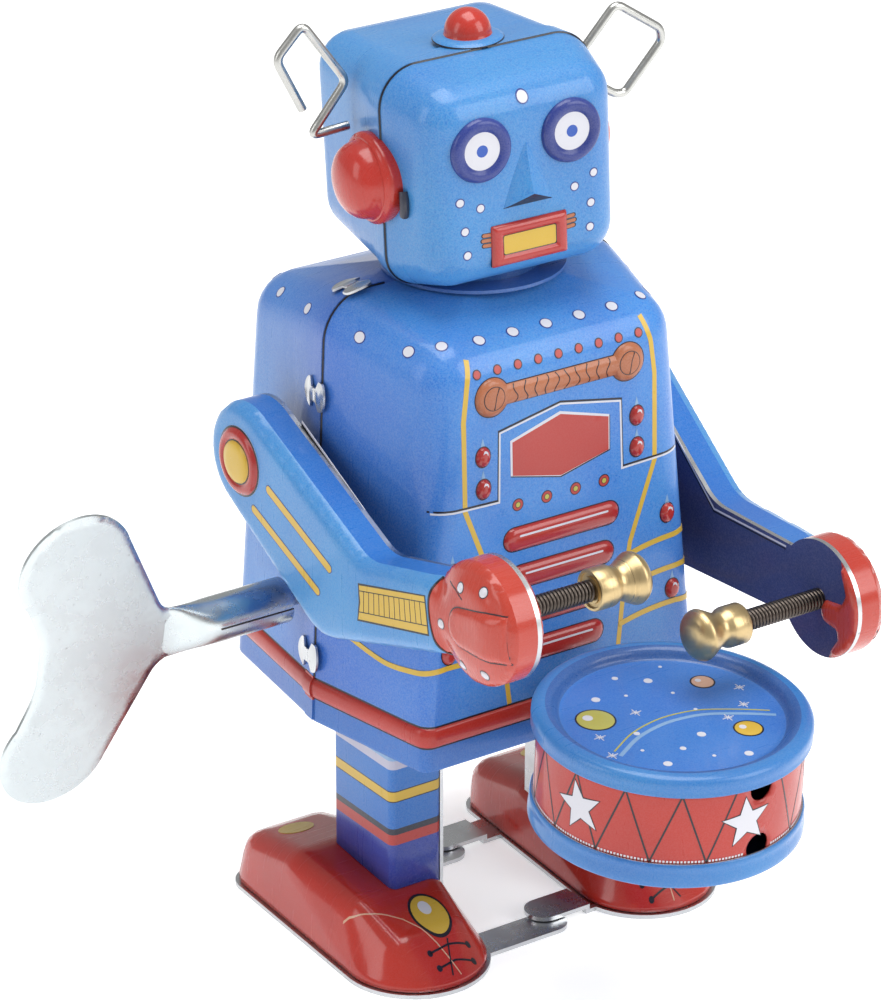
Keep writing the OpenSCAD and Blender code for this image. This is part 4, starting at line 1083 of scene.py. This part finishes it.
def make_leg(side, s):
    body = side + "_leg"
    m, loop = Mesh(), box_loop(15.7, 26.4, -13.5, 5, 1.3)
    for (z0, mat), (z1, _) in zip(STRIPES, STRIPES[1:]):
        m.put([(s * x, y, z) for z in (z0, z1) for x, y in loop], grid_faces(2, len(loop), True), mat)
    m.piece("sleeve_" + side, body, "blue_tin", ["leg_sleeve_" + side], solid=0.5, centre=(s * 21, -4, 27),
            sharp=35)

    tree = shoe_bvh(s)
    hole = box_loop(15.95, 26.1, -13.3, 4.8, 1.0)
    sh = Mesh()
    ang = np.linspace(0, 2 * PI, 120, endpoint=False)
    ecl = (s * 21.0, -4.2)
    rim = []
    for a in ang:
        d = Vector((math.cos(a), math.sin(a), 0))
        h = tree.ray_cast(Vector((ecl[0], ecl[1], 0.95)) + d * 60, -d)
        rim.append(np.array(h[0]))
    centre = Vector((ecl[0], ecl[1], 1.0))
    inner = []
    for a in ang:
        # the mouth of the shoe: where the ray leaves the sleeve's outline
        d = np.array([math.cos(a), math.sin(a)])
        reach = []
        for p, q in zip(hole, hole[1:] + hole[:1]):
            p, q = np.array(p) * (s, 1), np.array(q) * (s, 1)
            cross = np.array([[d[0], p[0] - q[0]], [d[1], p[1] - q[1]]])
            if abs(np.linalg.det(cross)) < 1e-9:
                continue
            t, w = np.linalg.solve(cross, p - np.array(ecl))
            if t > 0 and -1e-6 <= w <= 1 + 1e-6:
                reach.append(t)
        g = np.array(ecl) + d * min(reach)
        h = tree.ray_cast(Vector((g[0], g[1], 60)), Vector((0, 0, -1)))
        inner.append(np.array(h[0]) if h[0] is not None else np.array([g[0], g[1], 5.0]))
    rise = lambda p: math.atan2(p[2] - centre[2], math.hypot(p[0] - ecl[0], p[1] - ecl[1]))
    rows, grid = 26, []
    for t in np.arange(rows) / (rows - 1):
        for a, p0, p1 in zip(ang, rim, inner):
            e = rise(p0) + (rise(p1) - rise(p0)) * t
            d = Vector((math.cos(a) * math.cos(e), math.sin(a) * math.cos(e), math.sin(e)))
            h = tree.ray_cast(centre + d * 60, -d)
            grid.append(tuple(h[0]) if h[0] is not None else tuple(p0))
    sh.put(grid, grid_faces(rows, len(ang), True), "shoe")
    sh.piece("shoe_cap_" + side, body, "red_tin", ["shoe_" + side], solid=0.5, centre=(s * 24.5, -4, 1))

    def on_shoe(u, v, h):
        return raised(tree, (s * u, v, 60), (0, 0, -1), h)
    pr = Print(on_shoe)
    # the small white disc on the yellow oval is a painted highlight
    for r, mat, h in ((1.14, "ink_dark", 0.06), (1.0, "ink_yellow", 0.12), (0.36, "ink_white", 0.2)):
        c = (22.9, -20.2) if r > 0.5 else (23.1, -18.8)
        pr.put(disc(c, 3.1 * r, 30, 4.0 * r), mat, h, step=0.7)
    for y, w in ((-26.0, 4.0), (-28.4, 3.6)):
        pr.put(stroke([(23.0 - w, y - 0.3), (23.0, y + 0.15), (23.0 + w, y - 0.3)], 0.3), "ink_dark", 0.05,
               step=0.6)
        for q in (-1, 1):
            pr.put(disc((23.0 + q * w, y - 0.3), 0.5, 12), "ink_dark", 0.05)
    pr.put(stroke([(22.5, -25.0), (23.6, -27.4), (24.8, -30.2)], 0.26), "ink_dark", 0.05, step=0.6)
    arc_line = [(35.8, -12.3), (34.6, -14.2), (32.7, -16.0), (30.2, -17.8), (28.1, -19.6), (26.2, -22.4),
                (24.8, -25.2), (23.9, -27.8), (23.2, -30.4)]
    pr.put(stroke(arc_line, 0.2), "ink_peach", 0.05, step=0.7)
    pr.put(disc((26.8, 16.8), 3.4, 30, 2.8), "ink_yellow", 0.08, step=0.9)
    pr.m.piece("shoe_print_" + side, body, "red_tin")


make_leg("right", -1)
make_leg("left", 1)

# ---------- drum
DRUM = Matrix.Translation((0, -57.2, 38.4)) @ Matrix.Rotation(math.radians(4), 4, "X")
drum_at = lambda p: tuple(DRUM @ Vector(p))
DR = 22.6                   # radius of the drum's side
KD = 180 / (PI * DR)        # degrees round the drum for one millimetre
HOLE_A, HOLE_R = PI * DR + 1.6, 2.4

def on_drum(a, z):
    return drum_at((-DR * math.sin(a / DR), DR * math.cos(a / DR), z))


# the shell is one sheet with two round holes that the rims cut across
low_hole = arc((HOLE_A, 5.4), HOLE_R, PI + 0.476, -0.476, 20)
top_hole = arc((HOLE_A, 16.6), HOLE_R, 0.385, -PI - 0.385, 20)
edge = [(0, 4.3)] + low_hole + [(2 * PI * DR, 4.3), (2 * PI * DR, 17.5)] + top_hole + [(0, 17.5)]
DV, DT = fill([split(edge, 1.1)], 1.4)
m = Mesh()
m.put([on_drum(a, z) for a, z in DV], [tuple(t) for t in DT], "drum")
m.piece("drum_side", "torso", "red_tin", ["drum_shell"], centre=tuple(DRUM @ Vector((0, 0, 10))), solid=0.35)
base = [(0, 0.4), (20.0, 0.4), (20.8, 0.3), (21.4, 0.0), (22.9, 0.0), (23.2, 0.12), (23.38, 0.4),
        (23.38, 1.2), (23.25, 2.2), (23.12, 2.9), (23.22, 3.3),
        (23.25, 3.8), (23.1, 4.2), (22.9, 4.38), (22.64, 4.4)]
lathe(base, 128, drum_at, ["plate"] * 4 + ["rim"] * 9 + ["steel"]).piece(
    "drum_hoop_low", "torso", "blue_tin", ["drum_base"], centre=tuple(DRUM @ Vector((0, 0, 2))), sharp=50)
lid = [(0, 19.2), (6, 19.2), (12, 19.21), (18.2, 19.2), (19.0, 19.25), (19.4, 19.5), (19.75, 20.0),
       (20.1, 20.5), (20.6, 20.85), (21.4, 21.0), (22.2, 20.98),
       (23.0, 20.75), (23.45, 20.35), (23.68, 19.8), (23.7, 19.0), (23.55, 18.3), (23.62, 17.9),
       (23.66, 17.6), (23.5, 17.42), (22.64, 17.4)]
mats = ["lid"] * 4 + ["strip"] * 5 + ["rim"] * 9 + ["ink_lilac"]
lathe(lid, 128, drum_at, mats).piece("drum_top", "torso", "blue_tin", ["drum_lid"],
                                     centre=tuple(DRUM @ Vector((0, 0, 14))), sharp=50)


def drum_place(u, v, h):
    a, r = math.radians(u), DR + h
    return drum_at((r * math.sin(a), -r * math.cos(a), v))


def star(c, ro, ri, turn=0.0):
    rays = [(ro if i % 2 == 0 else ri, PI / 2 + turn + i * PI / 5) for i in range(10)]
    return [(c[0] + r * math.cos(a) * KD, c[1] + r * math.sin(a)) for r, a in rays]


pr = Print(drum_place, 0)
for k in range(15):
    a0 = -104.5 + 24 * k
    for a1 in (a0 - 12, a0 + 12):
        band = [(a0 + (a1 - a0) * t, 17.3 - 12.8 * t) for t in np.linspace(0, 1, 15)]
        edge = [(a + 0.17 * KD, z) for a, z in band] + [(a - 0.17 * KD, z) for a, z in band][::-1]
        if not (abs(a0 - 4) < 13 and abs(a1 - 4) < 10):
            pr.put(edge, "ink_dark", 0.03)
for a, turn in ((-78.1, 0.25), (-2.9, 0.1), (70.5, 0.2)):
    pr.put(split(star((a, 11), 5.0, 2.25, turn), 3), "ink_dark", 0.04, step=4)
    pr.put(split(star((a, 11), 4.7, 2.0, turn), 3), "ink_white", 0.06, step=4)
for z in (17.15, 4.75):
    for a in np.arange(240) * 1.5 - 179.5:
        if abs(a - 4) > 7:
            dash = [(a + 0.45 * p, z + 0.2 * q) for p, q in ((-1, -1), (1, -1), (1, 1), (-1, 1))]
            pr.put(dash, "ink_white", 0.03, sink=0.05)
pr.m.piece("drum_print", "torso", "red_tin")


def lid_place(u, v, h):
    return drum_at((u, v, 19.21 + h))


pr = Print(lid_place)
SPOTS = ((-11.8, 5.6, 3.2, "ink_lemon"), (8.6, -9.6, 2.3, "ink_yellow"), (11.5, 6.8, 1.9, "ink_peach"))
for x, y, r, mat in SPOTS:
    pr.put(disc((x, y), r + 0.3, 32), "ink_dark", 0.03)
    pr.put(disc((x, y), r, 32), mat, 0.05, step=0.8, dome=(0.12, 1.0))
    pr.put(disc((x - r * 0.3, y + r * 0.3), r * 0.28, 16), "ink_white", 0.2)
for k in range(26):
    a, r = k * 2.39996, 2.4 + 15.0 * math.sqrt((k + 0.7) / 26.7)
    x, y = r * math.cos(a), r * math.sin(a)
    if any(math.hypot(x - p, y - q) < 4.4 for p, q, _, _ in SPOTS):
        continue
    if k % 4 == 1:
        for b in (0, PI / 4, PI / 2, 3 * PI / 4):
            w = 1.15 if b in (0, PI / 2) else 0.7
            ray = [(x + q * w * math.cos(b), y + q * w * math.sin(b)) for q in (-1, 0, 1)]
            pr.put(stroke(ray, 0.16), "ink_white", 0.05 + 0.004 * b)
    else:
        pr.put(disc((x, y), 0.34 + 0.22 * (k % 3), 14), "ink_white", 0.04)
# broad curved sweep of colour across the lid
sweep = [(-15.2, -6.0), (-9.0, -2.4), (-2.0, -0.9), (5.0, -1.8), (11.5, -5.6), (15.4, -8.4)]
pr.put(stroke(filleted(sweep, 3.0, 5), 0.75), "ink_pale", 0.03, step=1.5)
pr.put(stroke(filleted([(x, y + 1.7) for x, y in sweep], 3.0, 5), 0.3), "ink_lemon", 0.035, step=1.5)
pr.m.piece("lid_print", "torso", "blue_tin")

# ---------- key
KEY = Matrix.Translation((0, 7.16, 63)) @ Matrix.Rotation(math.radians(14), 4, "X")
key_at = lambda p: tuple(KEY @ Vector(p))
LOBE, LR = (-78.6, 19.6), 10.7


def key_loop():
    a0, a1 = math.radians(20), math.atan2(14.0 - LOBE[1], -85.1 - LOBE[0])
    if a1 < a0:
        a1 += 2 * PI
    lobe = arc(LOBE, LR, a0, a1, 44)
    neck = filleted([(-55.0, 4.15), (-60.0, 5.6), lobe[0]], 2.5, 6)[:-1]
    join = filleted([lobe[-1], (-84.0, 6.0), (-83.4, 0.0)], 3.0, 7)[1:-1]
    up = [tuple(p) for p in neck + lobe + join]
    return up + [(x, -z) for x, z in up][::-1]


loop = key_loop()
KV, KT = fill([loop], 1.1)
d = edge_distance(KV, [loop])
hh = 0.6 - 0.32 * (1 - np.clip(d / 0.55, 0, 1)) ** 2
m = Mesh()
n = len(KV)
P = [key_at((x, q * h, z)) for q in (-1, 1) for (x, z), h in zip(KV, hh)]
m.put(P, [tuple(t) for t in KT] + [tuple(i + n for i in t[::-1]) for t in KT], "zinc")
E = [key_at((x, y, z)) for y in (-0.28, 0.28) for x, z in loop]
m.put(E, grid_faces(2, len(loop), True), "zinc")
# rolled stem: flat tongue closing round the arbor
rows = []
for t in np.linspace(0, 1, 18):
    x = -59.5 + t * (59.5 - 35.2)
    k = min(1.0, max(0.0, (x + 59.5) / 9.5))
    k = k * k * (3 - 2 * k)
    ring = []
    for a in np.linspace(0, 2 * PI, 48, endpoint=False):
        flat = np.array([5.5 * math.copysign(abs(math.cos(a)) ** 0.6, math.cos(a)), 0.62 * math.sin(a)])
        tube_ = 4.1 * np.array([math.cos(a), math.sin(a)])
        q = flat * (1 - k) + tube_ * k
        ring.append(key_at((x, q[1], q[0])))
    rows.append(ring)
m.put([p for r in rows for p in r], grid_faces(18, 48, True), "zinc")
turn = np.arange(48) * 2 * PI / 48
end = [key_at((-35.2, r * math.sin(a), r * math.cos(a))) for r in (4.1, 3.5, 1.7) for a in turn]
m.put(end, grid_faces(3, 48, True), "zinc")
m.put([key_at((-59.4, 0.3 * math.sin(a), 5 * math.cos(a))) for a in turn[::2]], [tuple(range(24))], "zinc")
m.put(*tube([key_at((x, -4.02, 0.9)) for x in np.linspace(-50, -35.4, 12)], 0.16, 8), "spring")
m.piece("wind_key", "winding", "zinc_plate", ["winding_key"], sharp=50)

# ---------- CAD parts that are shown
FINISH = {"strip": ["neck_collar"], "spring": ["mainspring"],
          "gear": ["great_wheel", "crank_wheel", "third_wheel", "escape_wheel"],
          "steel": ["plate_pillars", "winding_arbor", "ratchet_wheel", "ratchet_click", "crank_arbor",
                    "third_arbor", "escape_arbor", "escape_pallet", "leg_guide_rivets", "drum_bracket"]}
FINISH["steel"] += [name + side for side, _ in SIDES for name in (
    "motor_plate_", "crank_disc_", "arm_shaft_", "arm_lever_", "leg_frame_")]
for key, names in FINISH.items():
    for name in names:
        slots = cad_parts[name].data.materials
        slots.clear()
        slots.append(M[key])

# ---------- stage, light and camera
fm = bpy.data.materials.new("paper_floor")
fm.use_nodes = True
fb = fm.node_tree.nodes["Principled BSDF"]
fb.inputs["Base Color"].default_value = (0.93, 0.93, 0.93, 1)
fb.inputs["Roughness"].default_value = 0.9
fb.inputs["Specular IOR Level"].default_value = 0.1
fb.inputs["Emission Color"].default_value = (1, 1, 1, 1)
fb.inputs["Emission Strength"].default_value = 0.5
me = bpy.data.meshes.new("floor")
g = 8.0
me.from_pydata([(-g, -g, 0), (g, -g, 0), (g, g, 0), (-g, g, 0)], [], [(0, 1, 2, 3)])
me.materials.append(fm)
floor = bpy.data.objects.new("floor", me)
bpy.context.scene.collection.objects.link(floor)

world = bpy.data.worlds.new("studio")
bpy.context.scene.world = world
world.use_nodes = True
world.node_tree.nodes["Background"].inputs["Color"].default_value = (1, 1, 1, 1)
world.node_tree.nodes["Background"].inputs["Strength"].default_value = 0.42


def area(name, at, look, size, power):
    l = bpy.data.lights.new(name, "AREA")
    l.shape = "RECTANGLE"
    l.size, l.size_y = size
    l.energy = power
    o = bpy.data.objects.new(name, l)
    o.location = at
    o.rotation_euler = (Vector(look) - Vector(at)).to_track_quat("-Z", "Y").to_euler()
    bpy.context.scene.collection.objects.link(o)


aim = (0.023, 0.0, 0.08)
area("key_light", (0.42, -0.62, 0.5), aim, (0.45, 0.6), 3.3)
area("top_light", (0.05, 0.0, 0.85), aim, (0.6, 0.5), 4.6)
area("side_light", (-0.75, 0.1, 0.45), aim, (0.3, 0.6), 1.3)

cam_data = bpy.data.cameras.new("camera")
cam_data.sensor_width = 36
cam_data.sensor_height = 36
cam_data.sensor_fit = "VERTICAL"
cam_data.lens = 162
cam_data.clip_start = 0.01
cam = bpy.data.objects.new("camera", cam_data)
cam.location = (-0.3888, -0.5659, 0.3959)
cam.rotation_euler = (Vector((0.03455, 0.0501, 0.06312)) - cam.location).to_track_quat("-Z", "Y").to_euler()
bpy.context.scene.collection.objects.link(cam)
bpy.context.scene.camera = cam
bpy.context.scene.view_settings.view_transform = "Standard"
